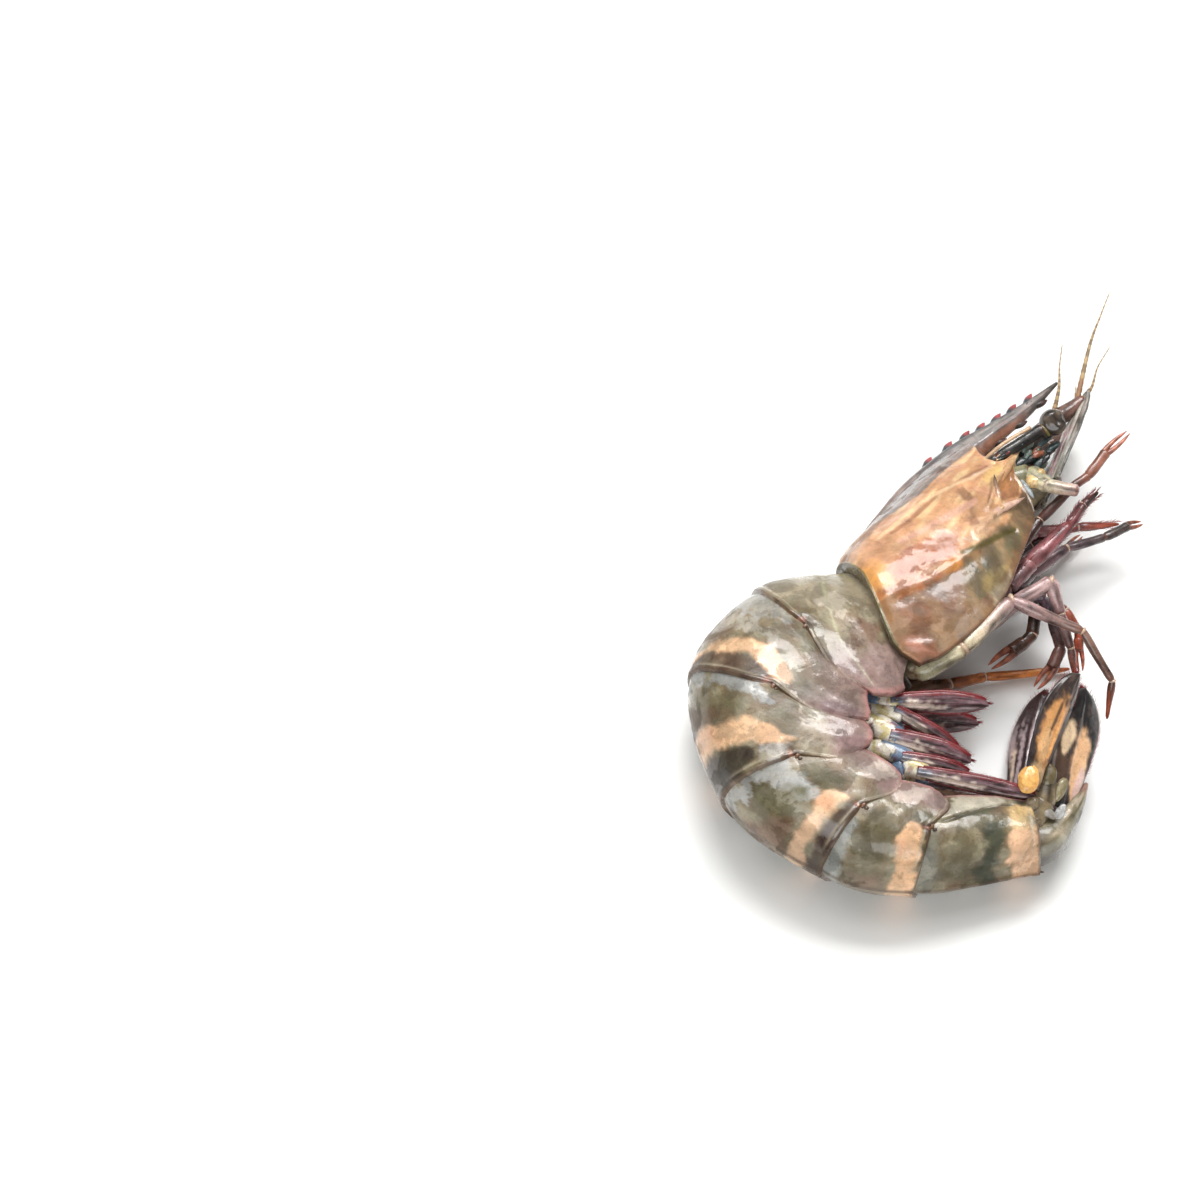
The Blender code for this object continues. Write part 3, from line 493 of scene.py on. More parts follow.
# Patches of each segment: colour, strength, softness, ragged edge, outline as (t, place). The pale grey and
# grey-blue patches with sharp ragged edges, at the fronts and on the upper flanks, are painted reflections
# of the wet film
PATCHES = {
    1: [
        (rgb(170, 158, 134), 0.8, 2.0, 1.2, [(0, -0.5), (0.5, -0.5), (0.52, 0.6), (0.4, 1.1), (0, 1.1)]),
        # Pale ragged patch on the upper flank: painted reflection of the wet film
        (rgb(208, 196, 176), 0.65, 0.3, 2.6, [(0.48, 0.65), (0.41, 0.23), (0.50, 0.08), (0.56, 0.4)]),
        (rgb(186, 176, 118), 0.5, 1.2, 1.0,
         [(0.0, 0.5), (0.21, 0.40), (0.25, -0.15), (0.33, -0.22), (0.0, -0.3)]),
        (rgb(118, 102, 78), 0.7, 1.5, 1.2, [(0.0, 1.12), (0.0, 0.75), (0.3, 0.85), (0.42, 1.12)]),
        (rgb(128, 102, 84), 0.9, 0.3, 0.9,
         [(0.66, 0.45), (0.59, 0.03), (0.66, -0.17), (0.74, 0.15), (0.76, 0.48)]),
        (rgb(152, 128, 120), 0.85, 0.4, 0.8,
         [(0.72, 0.05), (0.81, -0.17), (0.96, 0.15), (0.92, 0.45), (0.80, 0.5)]),
        (rgb(96, 80, 66), 0.8, 0.6, 0.7,
         [(0.69, 1.10), (0.72, 1.22), (0.81, 1.16), (0.80, 1.04), (0.72, 1.02)]),
        (rgb(134, 108, 102), 0.6, 1.2, 1.0, [(0.82, 0.6), (0.98, 0.5), (0.98, 1.0), (0.84, 1.2)]),
    ],
    2: [
        # Pale grey-blue front zone: painted reflection of the wet film
        (PAINTED_SHEEN_BLUE, 0.5, 0.35, 2.4, [(0.0, 1.0), (0.5, 1.0), (0.5, 1.2), (0.3, 1.34), (0.0, 1.28)]),
        # Pale ragged patch on the upper flank: painted reflection of the wet film
        (rgb(196, 192, 180), 0.5, 0.3, 2.4,
         [(0.41, 1.43), (0.31, 1.38), (0.24, 1.5), (0.38, 1.56), (0.5, 1.42)]),
        (rgb(106, 84, 62), 0.75, 1.2, 1.0,
         [(0.0, 1.9), (0.2, 1.84), (0.3, 1.7), (0.3, 1.5), (0.1, 1.6), (0.0, 1.6)]),
        (rgb(92, 70, 54), 0.95, 0.5, 0.5,
         [(-0.1, 1.97), (0.2, 1.87), (0.34, 1.81), (0.44, 1.76), (0.53, 1.83), (0.60, 1.96),
          (0.57, 2.07), (0.40, 2.20), (-0.1, 2.25)]),
        (ORANGE, 0.97, 0.45, 0.6,
         [(-0.05, 1.99), (0.12, 1.88), (0.20, 1.82), (0.30, 1.68), (0.43, 1.57), (0.53, 1.56),
          (0.61, 1.62), (0.66, 1.78), (0.64, 1.90), (0.58, 1.92), (0.51, 1.80), (0.44, 1.75),
          (0.34, 1.80), (0.20, 1.88), (0.1, 1.93)]),
        (ORANGE_PALE, 0.6, 1.2, 1.0,
         [(0.22, 1.82), (0.34, 1.66), (0.45, 1.62), (0.44, 1.72), (0.32, 1.79)]),
        (rgb(138, 110, 110), 0.8, 0.8, 0.8,
         [(0.78, 1.93), (0.94, 1.70), (1.0, 1.97), (0.89, 2.25), (0.81, 2.15)]),
        (rgb(122, 102, 90), 0.6, 1.5, 1.2, [(0.7, 1.3), (0.98, 1.2), (0.98, 1.6), (0.75, 1.7)]),
    ],
    3: [
        # Pale grey-blue front zone: painted reflection of the wet film
        (PAINTED_SHEEN_BLUE, 0.8, 0.4, 2.0,
         [(0, 2.0), (0.5, 2.0), (0.53, 2.26), (0.45, 2.22), (0.33, 2.17), (0.1, 2.2), (0, 2.2)]),
        (rgb(98, 92, 64), 0.7, 2.0, 1.5, [(0.1, 2.24), (0.4, 2.24), (0.42, 2.5), (0.1, 2.5)]),
        (BROWN, 0.75, 1.0, 1.0, [(0.0, 2.36), (0.19, 2.36), (0.36, 2.44), (0.30, 2.53), (0.0, 2.53)]),
        (rgb(60, 50, 40), 0.97, 0.5, 0.6,
         [(-0.1, 2.74), (0.23, 2.75), (0.36, 2.76), (0.40, 2.84), (0.37, 2.92), (0.26, 3.02),
          (0.03, 3.08), (-0.1, 3.08)]),
        (rgb(104, 102, 98), 0.6, 0.8, 0.8, [(0.05, 2.9), (0.18, 2.86), (0.2, 2.97), (0.05, 3.0)]),
        # Pale ragged patch on the upper flank: painted reflection of the wet film
        (rgb(196, 190, 182), 0.75, 0.3, 2.0,
         [(0.42, 2.84), (0.52, 2.80), (0.56, 2.9), (0.5, 3.0), (0.38, 3.0)]),
        (rgb(120, 104, 76), 0.85, 0.5, 0.8, [(0.54, 2.78), (0.61, 2.82), (0.63, 2.95), (0.58, 2.92)]),
        (ORANGE, 0.97, 0.5, 0.7,
         [(-0.05, 2.54), (0.15, 2.54), (0.29, 2.55), (0.39, 2.50), (0.48, 2.53), (0.53, 2.60),
          (0.55, 2.69), (0.62, 2.73), (0.54, 2.79), (0.46, 2.78), (0.35, 2.75), (0.23, 2.73),
          (0.06, 2.70), (-0.05, 2.70)]),
        (PINKISH, 0.7, 1.0, 1.0, [(0.05, 2.56), (0.2, 2.57), (0.2, 2.64), (0.05, 2.62)]),
        (ORANGE_PALE, 0.6, 0.8, 0.8, [(0.25, 2.6), (0.42, 2.56), (0.44, 2.7), (0.3, 2.7)]),
        (rgb(158, 128, 126), 0.8, 1.2, 0.8, [(0.83, 2.63), (1.0, 2.43), (0.98, 3.05), (0.81, 2.93)]),
        # Pale ragged patch on the lower flank: painted reflection of the wet film
        (rgb(178, 168, 152), 0.35, 0.35, 2.8, [(0.66, 2.3), (0.8, 2.3), (0.8, 2.8), (0.68, 2.9)]),
    ],
    4: [
        # Pale grey front zone: painted reflection of the wet film
        (rgb(186, 188, 186), 0.75, 0.3, 2.2,
         [(0, 3.0), (0.5, 3.0), (0.52, 3.28), (0.46, 3.43), (0.49, 3.60), (0.38, 3.60), (0.38, 3.38),
          (0.31, 3.18), (0, 3.16)]),
        (rgb(104, 100, 70), 0.8, 1.2, 1.2,
         [(0.26, 3.16), (0.44, 3.43), (0.36, 3.6), (0.26, 3.60), (0.15, 3.4)]),
        (rgb(92, 90, 62), 0.7, 1.5, 1.2, [(0.5, 3.2), (0.62, 3.15), (0.66, 3.6), (0.52, 3.6)]),
        (rgb(108, 78, 54), 0.85, 1.0, 1.0,
         [(0.0, 3.3), (0.12, 3.35), (0.28, 3.62), (0.09, 3.68), (0.0, 3.66)]),
        (rgb(62, 40, 32), 0.95, 0.6, 0.9,
         [(-0.1, 3.86), (0.29, 3.84), (0.45, 3.84), (0.56, 3.87), (0.54, 4.02), (0.45, 4.10),
          (0.29, 4.12), (0.11, 4.06), (-0.1, 3.98)]),
        (rgb(140, 136, 124), 0.6, 0.6, 0.9, [(0.3, 4.0), (0.42, 3.96), (0.44, 4.05), (0.32, 4.08)]),
        (rgb(242, 200, 162), 0.97, 0.5, 0.7,
         [(-0.1, 3.69), (0.25, 3.68), (0.36, 3.68), (0.49, 3.58), (0.555, 3.62), (0.56, 3.80),
          (0.45, 3.83), (0.29, 3.83), (0.15, 3.83), (-0.1, 3.86)]),
        (rgb(214, 152, 112), 0.6, 1.0, 1.2, [(0.4, 3.62), (0.5, 3.6), (0.52, 3.75), (0.42, 3.78)]),
        (LOBE_WHITE, 0.85, 0.35, 2.4, [(0.90, 3.30), (1.0, 3.48), (0.97, 3.9), (0.80, 3.8), (0.74, 3.5)]),
        (rgb(190, 158, 152), 0.75, 0.9, 1.0, [(0.78, 3.8), (0.97, 3.86), (0.95, 4.10), (0.75, 4.08)]),
    ],
    5: [
        # Grey front zone: painted reflection of the wet film
        (rgb(154, 158, 154), 0.85, 0.6, 0.8,
         [(0.50, 4.0), (0.42, 4.12), (0.24, 4.17), (-0.1, 4.20), (-0.1, 4.0)]),
        (rgb(88, 82, 56), 0.8, 1.6, 1.2,
         [(0.53, 4.12), (0.68, 4.35), (0.5, 4.6), (0.34, 4.66), (0.12, 4.60), (0.09, 4.30)]),
        (rgb(120, 96, 74), 0.6, 1.2, 1.2, [(0.0, 4.3), (0.1, 4.3), (0.12, 4.68), (0.0, 4.7)]),
        (rgb(74, 60, 48), 0.7, 0.5, 0.8,
         [(0.0, 5.0), (0.2, 5.02), (0.44, 5.0), (0.6, 4.88), (0.62, 5.1), (0.0, 5.12)]),
        (ORANGE, 0.97, 0.5, 0.8,
         [(-0.1, 4.74), (0.25, 4.73), (0.41, 4.68), (0.52, 4.67), (0.59, 4.74), (0.58, 4.86),
          (0.44, 4.97), (0.20, 4.99), (-0.1, 4.98)]),
        (PINKISH, 0.6, 1.0, 1.0, [(0.3, 4.72), (0.4, 4.7), (0.42, 4.85), (0.32, 4.9)]),
        (LOBE_WHITE, 0.7, 0.35, 2.4, [(0.72, 4.2), (0.96, 4.2), (0.96, 4.6), (0.74, 4.7)]),
        (rgb(150, 128, 122), 0.6, 1.0, 1.0, [(0.78, 4.7), (0.97, 4.6), (0.95, 5.0), (0.78, 5.0)]),
        (rgb(70, 72, 50), 0.7, 0.7, 0.9, [(0.62, 4.7), (0.72, 4.75), (0.72, 4.95), (0.63, 5.0)]),
    ],
    6: [
        # Grey front zone: painted reflection of the wet film
        (rgb(152, 152, 140), 0.8, 0.7, 0.8,
         [(0.55, 5.0), (0.54, 5.06), (0.36, 5.13), (0.15, 5.17), (-0.1, 5.18), (-0.1, 5.0)]),
        (rgb(108, 104, 78), 0.6, 1.5, 1.4, [(0.1, 5.2), (0.6, 5.2), (0.6, 5.5), (0.1, 5.5)]),
        (rgb(66, 72, 56), 0.9, 0.7, 0.9,
         [(0.62, 5.5), (0.60, 5.70), (0.25, 5.68), (0.03, 5.62), (-0.1, 5.72), (-0.1, 5.5), (0.3, 5.52)]),
        (rgb(204, 196, 176), 0.85, 0.6, 1.8,
         [(0.70, 5.1), (1.05, 5.0), (1.05, 5.75), (0.9, 5.72), (0.84, 5.55), (0.76, 5.33)]),
        (rgb(60, 68, 50), 0.7, 0.8, 0.8,
         [(0.62, 5.1), (0.66, 5.1), (0.78, 5.4), (0.80, 5.58), (0.70, 5.5)]),
        (rgb(240, 194, 156), 0.95, 0.5, 1.1,
         [(-0.1, 5.78), (0.29, 5.74), (0.5, 5.75), (0.52, 5.9), (0.40, 5.97), (0.03, 6.0), (-0.1, 5.99)]),
        (rgb(216, 184, 130), 0.9, 0.7, 1.0,
         [(0.50, 5.74), (0.88, 5.76), (0.90, 5.90), (0.80, 5.98), (0.48, 5.95)]),
        (rgb(176, 142, 116), 0.6, 0.6, 1.2, [(0.36, 5.9), (0.55, 5.86), (0.55, 6.0), (0.3, 6.0)]),
        (rgb(50, 52, 40), 0.75, 0.4, 0.5, [(0.86, 5.86), (1.05, 5.7), (1.05, 6.05), (0.9, 6.05)]),
    ],
}


def on_skin(outline, run):
    """Outline given as (t, place), in millimetres over the shell."""
    return [(t * GIRTH, place * run) for t, place in outline]


def paint_tergite(number, place, t, points):
    """Olive shell, mottled, with its own patches, some of them painted reflections of the wet film, a thin
    rear lip and a pink lower edge.
    """
    u = np.abs(t)
    big, mid = field(points, 9.0, number), field(points, 3.4, number + 20)
    small, tiny = field(points, 1.3, number + 40), field(points, 0.6, number + 50)
    rough = 0.55 * mid + 0.35 * small + 0.2 * tiny
    local = place - (number - 1)
    tint = coats(plain(OLIVE, len(u)), (
        (OLIVE_DARK, 0.4 + 1.1 * big),
        (rgb(126, 100, 76), ramp(mid, 0.05, 0.45) * 0.6),
        (OLIVE_PALE, ramp(-mid - big * 0.6, 0.1, 0.5) * 0.6),
        (OLIVE_GREEN, ramp(0.5 * small - mid, 0.2, 0.5) * 0.4),
    ))
    if number < 6:
        side = ramp(u + 0.06 * big, 0.68, 0.86)
        tint = coats(tint, (
            (MAUVE, side * 0.75),
            (MAUVE_PALE, side * ramp(mid + 0.4 * small, 0.0, 0.4) * 0.3),
            (rgb(168, 152, 132), between(u, 0.5, 0.72, 0.06) * ramp(-big, -0.1, 0.4) * 0.3),
        ))
    x, y = u * GIRTH, place * SEGMENT_RUN
    for colour, strength, soft, ragged, outline in PATCHES[number]:
        shape = patch(x, y, on_skin(outline, SEGMENT_RUN), soft, ragged * rough * 1.6)
        tint = lay(tint, colour, shape * strength * (0.88 + 0.3 * mid))
    if number == 1:
        line = stroke(x, y, on_skin([(0.26, 0.13), (0.49, 0.43), (0.73, 0.68), (0.95, 0.68)], SEGMENT_RUN),
                      0.25, 0.3, 0.3 * rough)
        tint = lay(tint, rgb(190, 188, 150), line * 0.6)
    if number == 6:
        tint = lay(tint, rgb(70, 62, 46),
                   stroke(x, y, on_skin(SIDE_FOLD, SEGMENT_RUN), 0.3, 0.3, 0.3 * rough) * 0.8)
    # Thin rear lip, a pale line in front of it as painted highlight, hinge shadow, pink lower edge and the
    # dark line of the back
    rear = 1.0 + knots(u, REAR_EDGE) * LOBE_SIZE[number - 1]
    lip = ramp(local, rear - 0.034, rear - 0.014)
    # Pale line in front of the rear lip: painted highlight
    pale = between(local, rear - 0.085, rear - 0.055, 0.01) * ramp(u, 0.1, 0.3)
    return coats(tint, (
        (rgb(116, 88, 62), lip * 0.65),
        (rgb(60, 42, 34), lip * ramp(rough, -0.1, 0.3) * 0.5),
        (rgb(190, 176, 150), pale * 0.45),
        (rgb(70, 50, 42),
         spot(local, u, (1.0, HINGE), (0.14, 0.05), 0, 0.5, 0.5 * rough) * 0.7 * (number < 6)),
        (rgb(178, 116, 90),
         spot(local, u, (0.97, HINGE - 0.01), (0.07, 0.018), 0, 0.5, 0.4 * rough) * 0.5 * (number < 6)),
        (rgb(176, 126, 120), ramp(u, 0.965, 0.985) * 0.8),
        (rgb(84, 62, 42), (1 - ramp(u, 0.012, 0.03)) * 0.7),
    ))


def tergite(number):
    """One segment of the abdomen."""
    rows, half_columns = 84, 84
    s = np.concatenate([np.linspace(0, 0.94, rows - 16), np.linspace(0.945, 1, 16)])
    t = np.linspace(-1, 1, 2 * half_columns + 1)
    s, t = np.meshgrid(s, t, indexing="ij")
    u = np.abs(t)
    tuck = np.where(u < 0.8, 0.5, 0.5 - 0.45 * ramp(u, 0.8, 1.0)) if number == 1 else OVERLAP
    reach = 1 + knots(u, REAR_EDGE) * LOBE_SIZE[number - 1]
    place = number - 1 - tuck + (tuck + reach) * s
    inside = np.maximum(number - 1 + OVERLAP - place, 0) / (2 * OVERLAP)
    swell = STEP_OUT * np.clip(s, 0, 1) - STEP_IN * np.clip(inside, 0, 1.2)
    lobe = 1 + 0.05 * np.sin(np.pi * np.clip(s, 0, 1)) - 0.05 * ramp(s, 0.8, 1.0) * (number < 6)
    rough_points = body_points(ABDOMEN, place, t, swell, lobe).reshape(-1, 3)
    relief = 0.16 * field(rough_points, 7.0, number + 60) + 0.06 * field(rough_points, 2.2, number + 80)
    relief = relief.reshape(s.shape)
    relief -= 0.42 * ramp(s, 0.985, 1.0)
    relief += 0.12 * between(s, 0.95, 0.985, 0.012)
    relief -= 0.3 * np.exp(-((u - HINGE) / 0.035) ** 2 - ((s - 0.96) / 0.05) ** 2) * (number < 6)
    relief += 0.25 * hump(s - 0.62, 0.12) * ramp(u, 0.6, 0.8)
    if number == 6:
        fold = away(u.ravel() * GIRTH, place.ravel() * SEGMENT_RUN,
                    on_skin(SIDE_FOLD, SEGMENT_RUN)).reshape(s.shape)
        relief -= 0.4 * hump(fold, 0.7)
        relief += 0.4 * hump(u, 0.03)
    tint = paint_tergite(number, place.ravel(), t.ravel(), rough_points).reshape(*s.shape, 3)
    batch = Batch()
    shell_piece(batch, ABDOMEN, place, t, swell, lobe, relief, tint)
    batch.finish(f"segment_{number}", SHELL, "shell")


def hinges():
    """Small knobs where one segment turns on the next, on both flanks, and the last segment's spines."""
    batch = Batch()
    for number in range(1, 6):
        for side in (1, -1):
            place = np.array([[number - 0.005]])
            t = np.array([[side * HINGE]])
            centre = body_points(ABDOMEN, place, t, np.array([[-0.15]]))[0, 0]
            ball(batch, centre, (0.5, 0.4, 0.8), rgb(136, 98, 74), 10, 12, (0.6, 0.8, 0.0), 0.15)
            ball(batch, centre + (0.6, -0.8, -0.1), (0.35, 0.3, 0.5), rgb(88, 68, 54), 8, 10,
                 (1, 0.2, 0.0), 0.15)
    for t, length in ((0.0, 0.7), (0.62, 0.8), (-0.62, 0.8)):
        root = body_points(ABDOMEN, np.array([[5.93]]), np.array([[t]]), np.array([[-0.3]]))[0, 0]
        tip = body_points(ABDOMEN, np.array([[6.0 + length / 27]]), np.array([[t]]), np.array([[0.35]]))[0,
                                                                                                         0]
        share = np.linspace(0, 1, 8)
        tints = blend(rgb(130, 110, 80), rgb(70, 44, 38), share)
        tube(batch, root + np.outer(share, tip - root), 0.75 * (1 - 0.9 * share), 0.6 * (1 - 0.9 * share),
             tints, 10)
    batch.finish("hinge_knobs", SHELL, "shell")


for segment in range(1, 7):
    tergite(segment)
hinges()


# Carapace

SHIELD_REAR = [(0, 0.42), (0.3, 0.40), (0.41, 0.40), (0.53, 0.31), (0.71, 0.17), (0.83, 0.08),
               (0.90, 0.10), (1, 0.22)]
SHIELD_FRONT = [(0, 4.3), (0.3, 4.3), (0.42, 4.14), (0.5, 4.12), (0.57, 4.22), (0.62, 4.42), (0.655, 4.78),
                (0.68, 4.6), (0.72, 4.35), (0.76, 4.24), (0.80, 4.2), (0.89, 4.1), (0.96, 3.98), (1, 3.85)]
SIDE_RIDGE = [(0.60, 0.2), (0.62, 0.6), (0.68, 1.1), (0.72, 1.9), (0.755, 2.35), (0.84, 2.8)]
CHEEK_SPINE = [(0.71, 2.45), (0.735, 2.8), (0.76, 3.12), (0.82, 3.5), (0.88, 3.85)]
SOCKET_SPINE = [(0.76, 3.2), (0.71, 3.42), (0.66, 3.6), (0.62, 3.77)]
BACK_BAND = [(0.18, 1.0), (0.20, 1.25), (0.30, 2.30), (0.31, 3.25), (0.31, 4.40)]
UPPER_GROOVE = [(0.36, 1.3), (0.38, 1.6), (0.40, 2.58), (0.45, 2.90), (0.49, 3.55), (0.52, 3.9)]

# Patches of the shield, drawn the same way
SHIELD_PATCHES = [
    (rgb(172, 108, 58), 0.9, 1.5, 1.2,
     [(0.42, 0.3), (0.62, 0.2), (0.66, 1.1), (0.70, 1.9), (0.60, 1.8), (0.48, 0.9)]),
    (rgb(238, 170, 92), 0.85, 0.9, 0.9,
     [(0.36, 0.35), (0.53, 0.30), (0.58, 0.55), (0.52, 0.80), (0.40, 0.7)]),
    (rgb(226, 174, 136), 0.5, 1.5, 1.5, [(0.22, 0.5), (0.40, 0.5), (0.46, 1.5), (0.34, 2.0), (0.22, 1.2)]),
    (rgb(158, 84, 36), 0.92, 0.9, 1.6,
     [(0.50, 0.75), (0.58, 0.75), (0.64, 1.3), (0.69, 1.85), (0.64, 2.12), (0.56, 2.0), (0.50, 1.38)]),
    (rgb(160, 92, 40), 0.92, 0.5, 0.8,
     [(0.57, 0.45), (0.65, 0.5), (0.71, 1.08), (0.745, 1.78), (0.70, 1.92), (0.655, 1.2), (0.585, 0.72)]),
    (rgb(206, 140, 66), 0.7, 0.8, 0.8, [(0.655, 1.3), (0.72, 1.4), (0.745, 1.78), (0.70, 1.9)]),
    (rgb(124, 78, 44), 0.95, 0.9, 1.0,
     [(0.63, 0.2), (0.67, 0.5), (0.74, 1.1), (0.78, 1.55), (0.90, 1.05), (0.90, 0.42), (0.76, 0.25)]),
    (rgb(160, 106, 66), 0.8, 1.2, 1.2, [(0.70, 0.5), (0.78, 0.9), (0.84, 0.8), (0.80, 0.4)]),
    (rgb(122, 88, 66), 0.8, 1.0, 1.2, [(0.72, 1.1), (0.78, 1.0), (0.84, 1.5), (0.86, 1.95), (0.78, 1.9)]),
    (rgb(116, 104, 74), 0.9, 1.0, 1.2,
     [(0.74, 1.90), (0.80, 2.3), (0.86, 2.75), (0.95, 2.70), (0.95, 1.90), (0.89, 1.40), (0.80, 1.6)]),
    (rgb(172, 148, 92), 0.75, 0.9, 1.0, [(0.84, 1.9), (0.95, 2.60), (0.96, 2.12), (0.90, 1.8)]),
    (rgb(86, 84, 62), 0.7, 0.8, 1.1, [(0.80, 1.85), (0.84, 2.4), (0.88, 2.5), (0.85, 1.9)]),
    (rgb(142, 124, 108), 0.8, 0.8, 1.0, [(0.92, 1.0), (0.95, 1.75), (1.0, 1.5), (0.99, 0.9)]),
    (rgb(202, 186, 156), 0.7, 0.7, 0.9, [(0.95, 1.9), (0.97, 2.45), (1.02, 2.3), (1.0, 1.8)]),
    (rgb(176, 118, 92), 0.85, 1.0, 1.0,
     [(0.80, 0.12), (0.84, 0.40), (0.92, 0.62), (1.0, 0.5), (0.99, 0.1)]),
    (rgb(226, 160, 136), 0.8, 0.6, 0.8, [(0.87, 0.25), (0.90, 0.42), (0.97, 0.48), (0.93, 0.24)]),
    (rgb(134, 108, 80), 0.7, 1.0, 1.2, [(0.86, 0.6), (0.92, 0.8), (0.99, 0.8), (0.97, 0.55)]),
    (rgb(98, 94, 66), 0.9, 0.9, 1.0, [(0.82, 2.85), (0.90, 2.7), (0.97, 2.9), (0.97, 3.3), (0.90, 3.3)]),
    (rgb(126, 104, 76), 0.85, 0.9, 1.0, [(0.80, 3.3), (0.92, 3.2), (0.96, 3.6), (0.92, 4.0), (0.86, 3.8)]),
    (rgb(120, 92, 68), 0.8, 0.8, 1.0, [(0.86, 3.7), (0.93, 3.9), (0.92, 4.15), (0.84, 4.15)]),
    (rgb(104, 92, 66), 0.85, 0.8, 1.0,
     [(0.75, 2.4), (0.80, 2.95), (0.86, 3.15), (0.90, 2.95), (0.82, 2.4)]),
    (rgb(222, 184, 150), 0.7, 1.2, 1.2, [(0.70, 2.2), (0.76, 2.7), (0.80, 3.0), (0.72, 3.0), (0.66, 2.6)]),
    (rgb(146, 98, 66), 0.8, 0.6, 1.0,
     [(0.48, 2.75), (0.56, 2.75), (0.66, 2.45), (0.68, 2.6), (0.58, 2.95), (0.50, 2.95)]),
    (rgb(236, 196, 128), 0.9, 0.7, 0.8,
     [(0.54, 3.45), (0.57, 4.1), (0.625, 4.25), (0.655, 3.8), (0.60, 3.5)]),
    (rgb(148, 98, 60), 0.95, 0.5, 0.7,
     [(0.655, 3.45), (0.635, 3.9), (0.64, 4.7), (0.70, 4.35), (0.80, 4.12), (0.83, 3.85), (0.74, 3.4)]),
    (rgb(190, 130, 78), 0.7, 0.8, 0.8, [(0.67, 3.6), (0.66, 4.0), (0.72, 4.0), (0.75, 3.7)]),
    (rgb(176, 122, 92), 0.7, 0.8, 1.2, [(0.47, 3.1), (0.53, 3.2), (0.56, 3.6), (0.50, 3.6)]),
]

# Painted lines of the shield: colour, strength, half width, points
SHIELD_LINES = [
    (rgb(150, 98, 68), 0.65, 0.55, UPPER_GROOVE),
    (rgb(244, 208, 164), 0.7, 0.5, [(0.33, 1.05), (0.36, 2.20), (0.50, 3.30), (0.54, 3.85)]),
    (rgb(228, 174, 148), 0.8, 0.8, [(0.44, 1.25), (0.51, 2.07), (0.60, 2.9)]),
    (rgb(96, 86, 44), 0.9, 0.55, [(0.705, 1.95), (0.76, 2.33), (0.84, 2.8), (0.90, 3.1)]),
    (rgb(104, 84, 60), 0.7, 0.4, [(0.75, 2.9), (0.80, 3.25), (0.86, 3.55), (0.90, 3.9)]),
    (rgb(106, 72, 52), 0.8, 0.35, [(0.68, 3.05), (0.64, 3.45), (0.60, 3.72)]),
    (rgb(240, 200, 160), 0.6, 0.4, [(0.69, 3.0), (0.66, 3.5), (0.64, 3.9), (0.65, 4.6)]),
]

# Ridges and grooves of the shield: height, half width, points
SHIELD_FOLDS = [
    (0.22, 1.1, SIDE_RIDGE), (-0.18, 1.3, [(q + 0.045, p) for q, p in SIDE_RIDGE[1:]]),
    (-0.3, 1.2, UPPER_GROOVE), (0.9, 1.1, CHEEK_SPINE), (0.5, 0.8, SOCKET_SPINE),
    (0.22, 1.4, [(0.33, 1.2), (0.36, 2.20), (0.50, 3.30), (0.54, 3.85)]),
    (-0.45, 0.8, [(0.77, 2.3), (0.85, 2.8), (0.91, 3.1)]),
                (0.5, 0.9, [(0.69, 3.0), (0.65, 3.6), (0.65, 4.6)]),
    (-0.4, 0.9, [(0.70, 3.5), (0.72, 4.0)]), (0.4, 1.2, [(0.88, 0.25), (0.93, 0.5)]),
]


